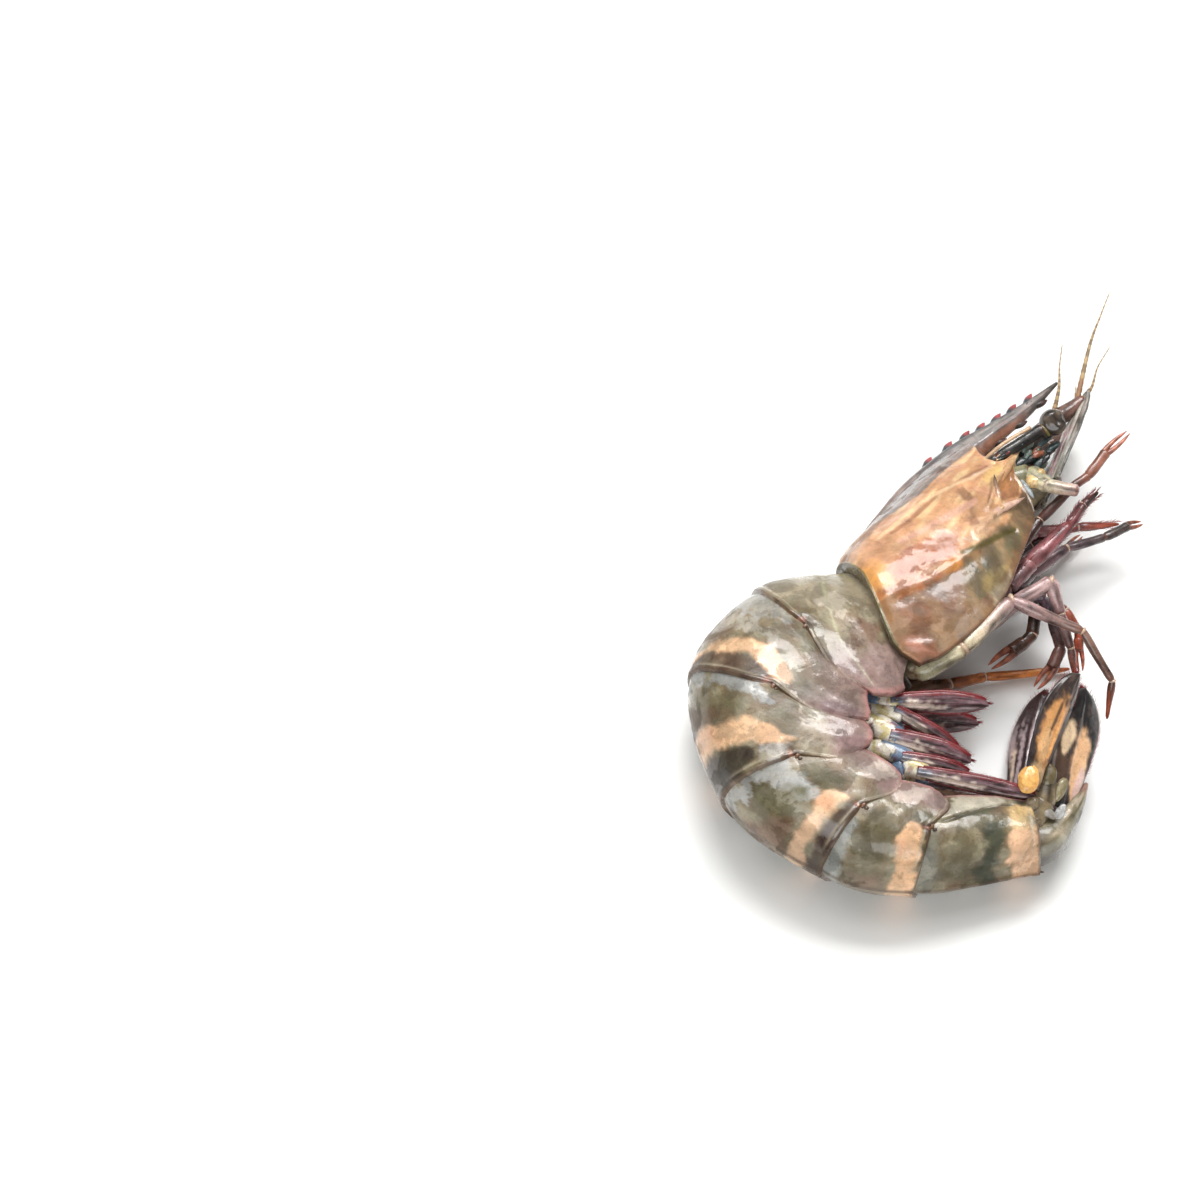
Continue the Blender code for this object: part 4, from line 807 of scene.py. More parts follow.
def paint_shield(place, t, points):
    """Peach and amber above, tan-brown to olive below, dark along the back."""
    u = np.abs(t)
    x, y = u * GIRTH, place * SHIELD_RUN
    mid = field(points, 4.0, 5)
    rough = 0.55 * mid + 0.35 * field(points, 1.5, 8) + 0.25 * field(points, 0.7, 9)
    streak = field(np.c_[place * 2.2, u * 26.0, np.zeros(len(u))], 1.0, 4)
    streak_fine = field(np.c_[place * 5.0, u * 60.0, np.zeros(len(u))], 1.0, 6)
    tint = coats(plain(rgb(212, 160, 116), len(u)), (
        (rgb(196, 140, 102), ramp(streak, 0.0, 0.5) * 0.7),
        (rgb(238, 204, 154), ramp(-streak, 0.0, 0.45) * 0.75),
        (rgb(206, 150, 122), ramp(mid, 0.1, 0.4) * 0.5),
    ))
    ridge = np.interp(place, [p for _, p in SIDE_RIDGE], [q for q, _ in SIDE_RIDGE])
    below = ramp(u - ridge + 0.012 * rough, -0.012, 0.012)
    tint = lay(tint, rgb(118, 84, 56), below * 0.95)
    tint = lay(tint, rgb(128, 100, 66), below * ramp(streak_fine + 0.3 * mid, 0.0, 0.4) * 0.5)
    smear = field(np.c_[place * 4.6 + 0.5 * mid, u * 6.0, np.ones(len(u))], 1.0, 15)
    for colour, strength, soft, ragged, outline in SHIELD_PATCHES:
        shape = patch(x, y, on_skin(outline, SHIELD_RUN), soft, ragged * rough * 1.6)
        tint = lay(tint, colour, shape * strength * (0.9 + 0.25 * streak_fine))
    tint = lay(tint, rgb(178, 140, 96), below * ramp(smear, 0.0, 0.45) * 0.42)
    tint = lay(tint, rgb(88, 72, 54), below * ramp(-smear, 0.05, 0.45) * 0.5)
    # Dark band along the back, streaked
    edge = np.interp(place, [p for _, p in BACK_BAND], [q for q, _ in BACK_BAND])
    band = (1 - ramp(u + 0.012 * rough, edge - 0.01, edge + 0.015)) * ramp(place, 0.9, 1.7)
    tint = coats(tint, (
        (rgb(88, 64, 54), band * 0.9),
        (rgb(88, 78, 70), band * ramp(streak_fine, 0.0, 0.35) * 0.75),
        (rgb(164, 132, 124), band * ramp(-streak_fine, 0.1, 0.45) * 0.6),
        (rgb(98, 96, 96), band * between(u, 0.04, 0.13, 0.02) * ramp(place, 1.6, 2.6) * 0.7),
        (rgb(150, 100, 66), spot(place, u, (0.9, 0.20), (0.7, 0.05), 0, 0.5, 0.7 * rough) * 0.8),
    ))
    for colour, strength, width, line in SHIELD_LINES:
        tint = lay(tint, colour,
                   stroke(x, y, on_skin(line, SHIELD_RUN), width, 0.35, 0.5 * rough) * strength)
    # Olive rim round the rear edge, red-brown line along the front edge
    back = place - knots(u, SHIELD_REAR)
    ahead = knots(u, SHIELD_FRONT) - place
    return coats(tint, (
        (rgb(104, 102, 62), (1 - ramp(back, 0.045, 0.07)) * (1 - ramp(u, 0.84, 0.9)) * 0.85),
        (rgb(70, 60, 40), (1 - ramp(back, 0.012, 0.02)) * 0.8),
        (rgb(226, 206, 180), (1 - ramp(ahead, 0.05, 0.09)) * ramp(u, 0.69, 0.72) * 0.7),
        (rgb(176, 84, 60), (1 - ramp(ahead, 0.02, 0.04)) * ramp(u, 0.69, 0.72) * 0.75),
        (rgb(60, 44, 38), (1 - ramp(ahead, 0.03, 0.06)) * (1 - ramp(u, 0.5, 0.55)) * 0.7),
        (rgb(120, 84, 64), ramp(u, 0.985, 0.995) * 0.6),
    ))


def shield():
    """The carapace, with its rim, side ridge, grooves and orbit."""
    rows, half_columns = 196, 120
    s = np.concatenate([np.linspace(0, 0.03, 12), np.linspace(0.034, 1, rows - 12)])
    t = np.linspace(-1, 1, 2 * half_columns + 1)
    s, t = np.meshgrid(s, t, indexing="ij")
    u = np.abs(t)
    rear, front = knots(u, SHIELD_REAR), knots(u, SHIELD_FRONT)
    place = rear + (front - rear) * s
    swell = np.zeros_like(s)
    lobe = 1.0 - 0.03 * (1 - ramp(s, 0.0, 0.1)) - 0.05 * ramp(s, 0.93, 1.0)
    points = body_points(SHIELD, place, t, swell, lobe).reshape(-1, 3)
    x, y = u.ravel() * GIRTH, place.ravel() * SHIELD_RUN
    relief = 0.16 * field(points, 8.0, 91) + 0.07 * field(points, 2.6, 92)
    for height, width, line in SHIELD_FOLDS:
        relief = relief + height * hump(away(x, y, on_skin(line, SHIELD_RUN)), width)
    relief = relief.reshape(s.shape)
    relief += 0.5 * hump(u, 0.06) * ramp(place, 1.0, 2.2)
    back = place - rear
    relief -= 1.0 * (1 - ramp(back, 0.0, 0.22)) * (1 - 0.6 * ramp(u, 0.6, 0.9))
    relief += 0.3 * hump(back - 0.03, 0.018)
    relief -= 0.3 * (1 - ramp(back, 0.0, 0.012))
    relief -= 0.45 * ramp(s, 0.992, 1.0)
    relief += 0.3 * between(s, 0.975, 0.99, 0.006) * ramp(u, 0.5, 0.6)
    tint = paint_shield(place.ravel(), t.ravel(), points).reshape(*s.shape, 3)
    batch = Batch()
    shell_piece(batch, SHIELD, place, t, swell, lobe, relief, tint)
    batch.finish("carapace", HEAD_SHELL, "head_shell")


def on_shield(place, t, lift=0.0):
    """Point on the carapace, raised by lift."""
    return body_points(SHIELD, np.array([[place]]), np.array([[t]]), np.array([[lift]]))[0, 0]


# Spines of the shield: line, lift at its points, width by share, height share, colours of root and tip
SHIELD_SPINES = [
    (CHEEK_SPINE, (-0.7, -0.1, 0.2, 0.6, 1.0), [(0, 0.2), (0.3, 0.9), (0.6, 1.1), (0.85, 0.6), (1, 0.08)],
     0.8, rgb(222, 180, 150), rgb(240, 198, 178)),
    (SOCKET_SPINE, (-0.5, 0.1, 0.5, 0.9), [(0, 0.3), (0.4, 0.8), (0.8, 0.45), (1, 0.07)], 0.8,
     rgb(224, 176, 140), rgb(62, 48, 42)),
    ([(0.67, 3.7), (0.66, 4.1), (0.655, 4.5), (0.65, 4.95)], (-0.4, 0.1, 0.3, 0.4),
     [(0, 0.3), (0.4, 1.0), (0.8, 0.6), (1, 0.08)], 0.6, rgb(168, 112, 66), rgb(232, 196, 150)),
]


def shield_spines():
    """Cheek spine, the dark-tipped spine behind the eye socket and the spine beside the feelers."""
    batch = Batch()
    for side in (1, -1):
        for line, lifts, wide, high, first, last in SHIELD_SPINES:
            path = smooth_path([on_shield(p, side * q, lift) for (q, p), lift in zip(line, lifts)], 24)
            share = np.linspace(0, 1, 24)
            width = knots(share, wide)
            tints = blend(first, last, share)
            tints[-4:] *= 0.75
            tube(batch, path, width, width * high, tints, 14)
    batch.finish("cheek_spines", HEAD_SHELL, "head_shell")


shield()
shield_spines()


# Horn

HORN = [((5.0, 40.5, 13.4), 4.0, 2.2), ((16.0, 51.0, 13.6), 4.0, 1.9), ((24.0, 57.6, 14.0), 2.9, 1.6),
        ((32.0, 64.2, 14.5), 1.9, 1.1), ((40.4, 72.3, 15.0), 0.4, 0.35)]
# Its ridge runs on over the shield: extra stations behind the horn
RIDGE = [((-8.6, 26.4, 13.4), 1.2, 0.6), ((-2.2, 33.6, 13.4), 2.4, 1.4)]
# Teeth: how many, above or below, first and last station, height, colours of root and tip
TEETH = [(7, -1, 0.55, 3.3, 0.75, rgb(70, 76, 78), rgb(178, 84, 84)),
         (3, 1, 2.0, 3.4, 0.3, rgb(60, 52, 48), rgb(84, 60, 56))]


def horn():
    """Toothed horn: dark crest, grey side groove, brown lower edge, red-tipped teeth."""
    batch = Batch()
    rows, sides = 120, 28
    stations = RIDGE + HORN
    place = np.linspace(0, len(stations) - 1, rows)
    path = curve([h[0] for h in stations], place)
    deep = curve([h[1] for h in stations], place)
    thick = curve([h[2] for h in stations], place)
    _, level, upright = frames_along(path)
    angle = 2 * np.pi * np.arange(sides) / sides
    down, side = np.cos(angle), np.sin(angle)
    bulge = 1 + 0.30 * hump(down - 0.12, 0.16) - 0.22 * hump(down + 0.32, 0.18)
    ring = (level[:, None] * (deep[:, None] * np.sign(down) * np.abs(down) ** 0.9)[..., None]
            + upright[:, None] * (thick[:, None] * side * bulge)[..., None])
    points = (path[:, None] + ring).reshape(-1, 3)
    along = np.repeat(place, sides) - len(RIDGE)
    across = np.tile(down, rows)
    rough = field(points, 2.0, 11)
    streak = field(np.c_[along * 2.5, across * 9, np.tile(side, rows)], 1.0, 12)
    tint = coats(plain(rgb(172, 164, 160), len(points)), (
        (rgb(192, 166, 160), ramp(streak, 0.0, 0.35) * 0.8),
        (rgb(92, 94, 94), ramp(-streak, 0.05, 0.4) * 0.6),
        (rgb(54, 62, 64), (1 - ramp(across + 0.12 * rough, -0.75, -0.5)) * 0.85),
        (rgb(150, 140, 130), between(across, -0.5, -0.3, 0.06) * 0.7),
        (rgb(74, 66, 58), between(across, 0.16, 0.3, 0.05) * 0.7),
        (rgb(156, 100, 72), ramp(across + 0.12 * rough, 0.22, 0.5) * (1 - ramp(along, 2.4, 3.4)) * 0.9),
        (rgb(62, 54, 48), ramp(across + 0.12 * rough, 0.3, 0.6) * ramp(along, 2.4, 3.2) * 0.85),
        (rgb(62, 58, 54), ramp(along, 3.0, 3.9) * 0.75),
        (rgb(166, 140, 130), (1 - ramp(along, -0.4, 0.8)) * 0.6),
    ))
    batch.add(points, ring_faces(rows, sides), tint)
    for count, way, first, last, tall, root_tint, tip_tint in TEETH:
        for tooth in range(count):
            p = first + (last - first) * tooth / (count - 1)
            centre, nose = curve([h[0] for h in HORN], p), curve([h[0] for h in HORN], p + 0.1)
            depth = float(curve([h[1] for h in HORN], p))
            direction = unit(nose - centre)
            flat = unit(np.cross(direction, UP))
            root = centre + flat * way * (depth - 1.4) - direction * 2.2
            tip = centre + flat * way * (depth + tall) + direction * 1.6
            share = np.linspace(0, 1, 10)
            bend = root + np.outer(share, tip - root) + np.outer(np.sin(np.pi * share), flat) * way * 0.35
            tints = blend(root_tint, tip_tint, ramp(share, 0.35, 0.7))
            tube(batch, bend, knots(share, [(0, 1.5), (0.6, 1.0), (1, 0.18)]),
                 knots(share, [(0, 0.9), (0.6, 0.6), (1, 0.15)]), tints, 10)
    batch.finish("horn", HEAD_SHELL, "head_shell")


horn()


# Limbs

def article(batch, start, end, first, second, tints, sides=16, flatten=0.88, seed=0):
    """One jointed piece of a limb: narrow neck, swollen body, flared and rounded far end, streaked skin."""
    start, end = np.asarray(start, float), np.asarray(end, float)
    length = np.linalg.norm(end - start)
    direction = (end - start) / length
    low, high = -0.35 * first, length + 0.22 * second
    share = np.concatenate([[0, 0.02, 0.05, 0.09], np.linspace(0.13, 0.86, 16),
                            [0.9, 0.94, 0.97, 0.99, 1.0]])
    width = first + (second - first) * np.clip((share - 0.25) / 0.75, 0, 1)
    shape = knots(share,
                  [(0, 0.35), (0.02, 0.62), (0.05, 0.78), (0.13, 0.93), (0.3, 1.0), (0.7, 0.99),
                   (0.9, 1.08),
                          (0.94, 1.0), (0.97, 0.8), (1, 0.4)])
    path = start + np.outer(low + (high - low) * share, direction)
    path += np.outer(np.sin(np.pi * share), np.cross(direction, UP)) * length * 0.012
    points = tube_points(path, width * shape, width * shape * flatten, sides)
    along = np.repeat(share, sides)
    turn = np.tile(2 * np.pi * np.arange(sides) / sides, len(share))
    wrap = np.c_[along * length * 0.16, np.cos(turn) * 1.3, np.sin(turn) * 1.3]
    streak = field(wrap, 0.7, seed + start[0])
    blotch = field(np.c_[along * length * 0.45, wrap[:, 1:]], 0.9, seed + 9 + start[1])
    tint = tints[0] * (1 - along[:, None]) + tints[1] * along[:, None]
    shade = 1 + 0.9 * np.clip(-streak, 0, 1) - 1.3 * np.clip(streak, 0, 0.45) - 0.6 * np.clip(blotch, 0,
                                                                                              0.6)
    tint = np.clip(tint * shade[:, None], 0, 0.95)
    tint = lay(tint, rgb(116, 62, 40), (ramp(along, 0.88, 0.94) + 1 - ramp(along, 0.05, 0.1)) * 0.45)
    batch.add(points, ring_faces(len(share), sides), tint)


def joint_ring(batch, centre, direction, radius, colour):
    """Pale soft membrane that shows at a joint."""
    direction = unit(direction)
    share = np.linspace(-1, 1, 7)
    path = np.asarray(centre, float) + np.outer(share * radius * 0.5, direction)
    swell = np.sqrt(1.02 - share ** 2)
    tube(batch, path, radius * swell, radius * 0.9 * swell, colour, 14)


def limb(batch, joints, colours, membrane=None, rings=()):
    """A jointed limb; colours are given at the joints, rings at the joints that show a membrane."""
    joints = [np.asarray(j, float) for j in joints]
    for index, (a, b) in enumerate(zip(joints, joints[1:])):
        article(batch, a[:3], b[:3], a[3], b[3] * 0.9, (colours[index], colours[index + 1]), seed=index)
        if index in rings:
            joint_ring(batch, a[:3], b[:3] - joints[index - 1][:3], a[3] * 0.9, membrane)


def pincer(batch, wrist, palm, tips, radius, hand, tip_tint):
    """Palm and two slim curved fingers."""
    wrist, palm, tips = (np.asarray(v, float) for v in (wrist, palm, tips))
    direction = unit(tips - palm)
    level = unit(np.cross(direction, UP))
    article(batch, wrist, palm, radius, radius * 0.95, (hand, hand * 0.9), seed=3)
    for side in (-1, 1):
        root = palm - direction * radius + level * side * radius * 0.3
        tip = tips + level * side * radius * 0.35
        share = np.linspace(0, 1, 14)
        path = root + np.outer(share, tip - root) + np.outer(np.sin(np.pi * share),
                                                             level) * side * radius * 0.28
        tints = blend(hand, tip_tint, share)
        tints = tints * (1 + 0.35 * np.sin(share * 19 + side))[:, None]
        tube(batch, path, radius * knots(share, [(0, 0.45), (0.2, 0.55), (0.8, 0.3), (1, 0.08)]),
             radius * knots(share, [(0, 0.45), (0.2, 0.52), (0.8, 0.28), (1, 0.08)]), tints, 10)


MAUVE_LEG = rgb(186, 152, 150)
PINK_LEG = rgb(206, 172, 168)
DARK_LEG = rgb(58, 40, 34)
TIP = rgb(186, 84, 46)

LEGS = {
    "right_5": ([(-2.0, -4.0, 16.0, 3.0), (1.5, -13.3, 19.0, 2.8), (11.4, -9.6, 23.0, 2.1),
                 (22.9, 2.4, 24.5, 1.7),
                 (38.9, -3.7, 21.0, 1.1), (45.8, -11.8, 13.0, 0.95), (45.0, -17.4, 6.0, 0.35)], None,
                [rgb(90, 96, 84), rgb(150, 146, 116), rgb(206, 194, 160), MAUVE_LEG, rgb(146, 112, 98),
                 rgb(98, 66, 54), TIP]),
    "right_4": ([(8.0, 2.0, 14.0, 3.0), (17.5, 1.0, 17.0, 2.6), (24.4, 4.7, 20.0, 1.9),
                 (32.6, 8.8, 22.6, 1.75),
                 (34.8, 2.6, 18.5, 1.25), (37.2, -3.2, 13.5, 1.0), (38.7, -8.1, 7.0, 0.35)], None,
                [rgb(130, 112, 96), rgb(140, 124, 108), rgb(168, 138, 136), PINK_LEG, rgb(150, 116, 114),
                 rgb(132, 98, 92), TIP]),
    "right_3": ([(16.0, 10.0, 13.0, 3.0), (25.0, 11.0, 15.0, 2.2), (32.5, 9.8, 15.0, 1.6),
                 (33.6, 4.5, 13.5, 1.3)],
                ((35.3, -1.9, 11.5), (33.1, -6.3, 10.0), (29.3, -10.4, 8.0), 1.5),
                [MAUVE, rgb(96, 78, 76), rgb(88, 70, 80), rgb(78, 60, 66), rgb(96, 62, 54)]),
    "right_2": ([(17.0, 18.0, 13.0, 2.8), (27.7, 24.4, 15.0, 1.6), (32.7, 30.9, 16.0, 1.25),
                 (40.5, 37.7, 20.0, 1.1)],
                ((44.1, 40.2, 20.5), (48.7, 46.1, 22.0), (54.2, 51.0, 23.2), 1.3),
                [DARK_LEG, rgb(70, 44, 38), rgb(86, 54, 46), rgb(84, 54, 46), rgb(150, 96, 78)]),
    "right_1": ([(16.0, 14.0, 11.0, 2.8), (25.2, 13.2, 13.0, 2.2), (29.7, 18.2, 13.0, 1.9),
                 (38.8, 24.7, 13.5, 1.2)],
                ((48.2, 28.9, 12.0), (54.0, 32.8, 11.0), (57.6, 34.4, 10.0), 1.2),
                [MAUVE, rgb(140, 110, 108), rgb(150, 116, 118), rgb(122, 100, 106), rgb(76, 64, 60)]),
    "left_5": ([(-4.0, -6.0, 11.0, 2.8), (-0.4, -11.6, 8.0, 2.4), (10.4, -7.1, 4.6, 1.5),
                (18.8, -3.8, 2.6, 1.2), (32.8, -1.8, 1.8, 1.0), (38.6, -0.7, 1.2, 0.35)], None,
               [rgb(120, 110, 90), rgb(120, 100, 76), rgb(140, 84, 52), rgb(206, 120, 60),
                rgb(236, 144, 72), TIP]),
    "left_4": ([(16.0, 16.0, 9.0, 2.6), (26.2, 25.2, 8.0, 1.4), (31.2, 29.1, 8.5, 1.3),
                (39.9, 33.2, 8.5, 1.0)], None,
               [DARK_LEG, rgb(74, 42, 38), rgb(80, 50, 46), rgb(100, 66, 58)]),
    "left_3": ([(12.0, 10.0, 9.0, 2.6), (25.4, 11.9, 10.0, 1.9), (31.2, 10.9, 10.6, 1.6),
                (29.5, 3.4, 9.0, 1.5)],
               ((27.6, 1.6, 8.6), (24.7, -0.3, 8.0), (19.6, -3.7, 6.5), 1.7),
               [DARK_LEG, rgb(58, 40, 34), rgb(56, 40, 32), rgb(66, 46, 36), rgb(92, 60, 46)]),
    "left_2": ([(16.0, 14.0, 10.0, 2.6), (30.6, 13.3, 12.0, 1.4), (37.1, 7.6, 12.6, 1.2),
                (39.9, 2.9, 11.0, 1.1)],
               ((39.8, 1.4, 10.2), (39.7, -0.7, 9.0), (40.3, -4.5, 6.0), 1.2),
               [DARK_LEG, rgb(110, 62, 48), rgb(146, 70, 50), rgb(164, 78, 52), rgb(170, 80, 56)]),
    "left_1": ([(16.0, 16.0, 7.0, 2.4), (27.0, 18.0, 5.5, 1.4), (33.0, 24.0, 4.5, 1.1),
                (38.0, 29.5, 3.5, 0.9)],
               ((39.5, 31.0, 3.2), (42.0, 33.6, 2.8), (44.6, 36.4, 2.2), 1.0),
               [DARK_LEG, rgb(86, 56, 48), rgb(96, 64, 54), rgb(110, 72, 58), rgb(140, 90, 70)]),
}


def legs():
    """The ten walking legs."""
    for name, (joints, claw, colours) in LEGS.items():
        batch = Batch()
        if claw:
            joints = joints + [claw[0] + (claw[3] * 0.9,)]
        limb(batch, joints, colours, rgb(206, 176, 150), range(2, len(joints) - (0 if claw else 1)))
        if claw:
            wrist, palm, tips, radius = claw
            pincer(batch, wrist, palm, tips, radius, colours[-1], rgb(186, 104, 76))
        batch.finish(f"leg_{name}", LIMB, "limb")


legs()


def bristles(batch, roots, ways, length, colour, radius=0.09, spread=0.35):
    """Fine tapering bristles from root points, fanned a little about their directions."""
    for root, way in zip(roots, ways):
        way = np.asarray(way, float) / (np.linalg.norm(way) + GUARD)
        lean = np.array([random.uniform(-1, 1) for _ in range(3)]) * spread
        end = unit(way + lean)
        size = length * random.uniform(0.7, 1.1)
        share = np.array([0.0, 0.5, 1.0])
        path = root + np.outer(share * size, way) + np.outer(share ** 2 * size * 0.5, end - way)
        shade = random.uniform(0.75, 1.15)
        tube(batch, path, radius * (1 - 0.8 * share), radius * (1 - 0.8 * share),
             np.clip(colour * shade, 0, 1), 4)


# Jaw legs: joints, colours, joints with a membrane, colour of the hairs
JAW_LEGS = [
    ([(15.0, 10.0, 15.0, 2.6), (24.0, 11.0, 18.0, 2.3), (28.9, 16.5, 19.0, 2.2), (38.6, 26.0, 21.0, 1.4),
      (42.1, 31.5, 21.0, 1.1), (45.9, 35.2, 21.0, 0.35)],
     [MAUVE, rgb(136, 104, 104), rgb(150, 96, 98), rgb(146, 78, 82), rgb(76, 52, 46), rgb(60, 46, 42)],
     (4,), rgb(140, 40, 44)),
    ([(17.0, 20.0, 9.0, 2.4), (27.4, 28.0, 10.0, 1.6), (32.3, 31.4, 10.5, 1.5), (42.4, 32.9, 10.5, 1.2),
      (52.4, 34.8, 9.0, 0.35)],
     [MAUVE, rgb(164, 116, 118), rgb(166, 112, 116), rgb(150, 88, 80), rgb(186, 84, 52)], (3,),
     rgb(166, 70, 64)),
]


def jaw_legs():
    """The two hairy jaw legs."""
    batch, hair = Batch(), Batch()
    for joints, colours, rings, hair_colour in JAW_LEGS:
        limb(batch, joints, colours, rgb(206, 170, 158), rings)
        for a, b in zip(joints[1:], joints[2:]):
            a, b = np.array(a), np.array(b)
            share = np.linspace(0.02, 0.98, 18)
            line = a[:3] + np.outer(share, (b - a)[:3])
            direction = unit((b - a)[:3])
            side = np.cross(direction, UP)
            for way in (side, -side, UP):
                bristles(hair, line + way * (a[3] * 0.7), [way * 0.5 + direction * 1.2] * len(line), 1.7,
                         hair_colour, 0.09)
    batch.finish("jaw_legs", LIMB, "limb")
    hair.finish("jaw_leg_hairs", BRISTLE, "feeler")


jaw_legs()


# Leaf-shaped plates: scales, paddles and swimmeret blades

def leaf(batch, base, tip, half_width, spread, paint, thickness=1.0, waist=0.55, rows=44, columns=26,
         ridges=(), camber=0.12, seed=1, point=0.45, right=1.0, bow=0.0):
    """Thin plate widest past its middle; ridges are raised lines, right narrows one side, bow bends it."""
    base, tip = np.asarray(base, float), np.asarray(tip, float)
    axis = unit(tip - base)
    across = np.asarray(spread, float)
    across = unit(across - axis * (across @ axis))
    normal = np.cross(axis, across)
    share = np.linspace(0, 1, rows + 1)[:, None] * np.ones((1, columns + 1))
    place = np.linspace(-1, 1, columns + 1)[None] * np.ones((rows + 1, 1))
    width = half_width * (waist + (1 - waist) * np.sin(np.pi * np.minimum(share * 1.3, 1) / 2))
    width = width * np.sqrt(1 - np.maximum(share - point, 0) ** 2 / ((1 - point) ** 2 + 0.002))
    width = width * np.where(place < 0, right, 1.0)
    middle = base + share[..., None] * (tip - base)
    middle = middle + across * (width * place + bow * np.sin(np.pi * share))[..., None]
    lift = camber * half_width * (1 - place ** 2)
    for centre, size in ridges:
        lift = lift + size * hump(place - centre, 0.09) * (1 - ramp(share, 0.85, 1))
    wave = field((middle + normal * 3).reshape(-1, 3), 3.0, seed).reshape(share.shape)
    lift = lift + 0.15 * wave
    slab = thickness * (0.28 + 0.72 * np.sqrt(np.clip(1 - place ** 2, 0, 1)))
    over = middle + normal * (lift + slab / 2)[..., None]
    under = middle + normal * (lift * 0.9 - slab / 2)[..., None]
    n = (rows + 1) * (columns + 1)
    faces = []
    w = columns + 1
    for row in range(rows):
        for column in range(columns):
            a = row * w + column
            faces.append((a, a + 1, a + w + 1, a + w))
            faces.append((n + a, n + a + w, n + a + w + 1, n + a + 1))
        for column in (0, columns):
            a = row * w + column
            face = (a, a + w, n + a + w, n + a)
            faces.append(face if column == 0 else face[::-1])
    for column in range(columns):
        for row in (0, rows):
            a = row * w + column
            face = (a, n + a, n + a + 1, a + 1)
            faces.append(face if row == 0 else face[::-1])
    tint = paint(share.ravel(), place.ravel(), over.reshape(-1, 3))
    batch.add(np.concatenate([over.reshape(-1, 3), under.reshape(-1, 3)]), faces,
              np.concatenate([tint, tint]))
    return middle, axis, across


def fringe(hair, middle, axis, across, start, length, colour, sides=(-1, 1), radius=0.09):
    """Bristles round the far edge of a leaf."""
    rows = len(middle)
    for side in sides:
        line = middle[int(rows * start):, 0 if side < 0 else -1]
        ways = []
        for k in range(len(line)):
            q = start + (1 - start) * k / len(line)
            ways.append(across * side * (1 - 0.7 * q) + axis * (0.4 + 0.9 * q))
        bristles(hair, line, ways, length, colour, radius)
    bristles(hair, middle[-1, ::2], [axis] * len(middle[-1, ::2]), length, colour, radius)


def paint_scale(share, place, points):
    """Pale plate with dark green edges and a mauve inner stripe."""
    rough = field(points, 1.6, 31)
    streak = field(np.c_[share * 3, place * 5, share * 0], 1.0, 33)
    mauve = between(place + 0.25 * rough, -0.75, -0.1, 0.12) * between(share, 0.08, 0.62, 0.1)
    return coats(plain(rgb(176, 166, 156), len(share)), (
        (rgb(222, 216, 204), ramp(streak, 0.0, 0.35) * 0.85),
        (rgb(112, 124, 106), ramp(-streak, 0.05, 0.35) * 0.75),
        (rgb(172, 118, 122), mauve * 0.85),
        (rgb(64, 82, 72), between(place + 0.1 * rough, 0.15, 0.4, 0.08) * 0.75),
        (rgb(40, 44, 40), spot(share, place, (0.62, 0.6), (0.05, 0.3), 0.2, 0.4, 0.5 * rough) * 0.8),
        (rgb(58, 56, 48), ramp(np.abs(place) + 0.08 * rough, 0.86, 0.96) * 0.85),
        (rgb(70, 64, 54), ramp(share, 0.8, 1.0) * 0.7),
    ))


STALKS = [[(17.0, 40.0, 17.0, 1.8), (23.5, 45.6, 20.6, 1.5), (34.5, 52.2, 23.2, 1.7)],
          [(18.0, 42.0, 9.0, 1.8), (24.0, 49.0, 6.6, 1.5), (29.5, 56.6, 5.0, 1.7)]]
FEELER_BASES = [
    ([(22.0, 40.0, 17.0, 4.0), (31.0, 41.2, 19.6, 2.8), (34.4, 36.6, 21.6, 1.8), (41.0, 34.4, 22.6, 1.5)],
     [rgb(96, 90, 66), rgb(176, 170, 130), rgb(226, 216, 182), rgb(206, 168, 160)]),
    ([(22.0, 42.0, 9.0, 4.0), (30.0, 43.5, 5.6, 3.0), (36.0, 48.0, 4.6, 2.2), (40.0, 52.5, 3.6, 1.7)],
     [rgb(120, 96, 70), rgb(206, 190, 150), rgb(190, 180, 156), rgb(156, 120, 126)]),
    ([(23.0, 45.0, 15.0, 3.6), (31.0, 52.0, 16.4, 2.7), (38.6, 59.2, 17.6, 2.2), (45.6, 64.6, 18.6, 1.4)],
     [TEAL, rgb(52, 60, 60), rgb(110, 84, 74), rgb(120, 84, 74)]),
    ([(23.0, 45.0, 11.0, 3.6), (30.5, 51.5, 9.6, 2.7), (37.6, 58.4, 8.0, 2.2), (43.6, 63.8, 7.0, 1.4)],
     [TEAL, rgb(52, 60, 60), rgb(100, 80, 70), rgb(112, 84, 74)]),
]


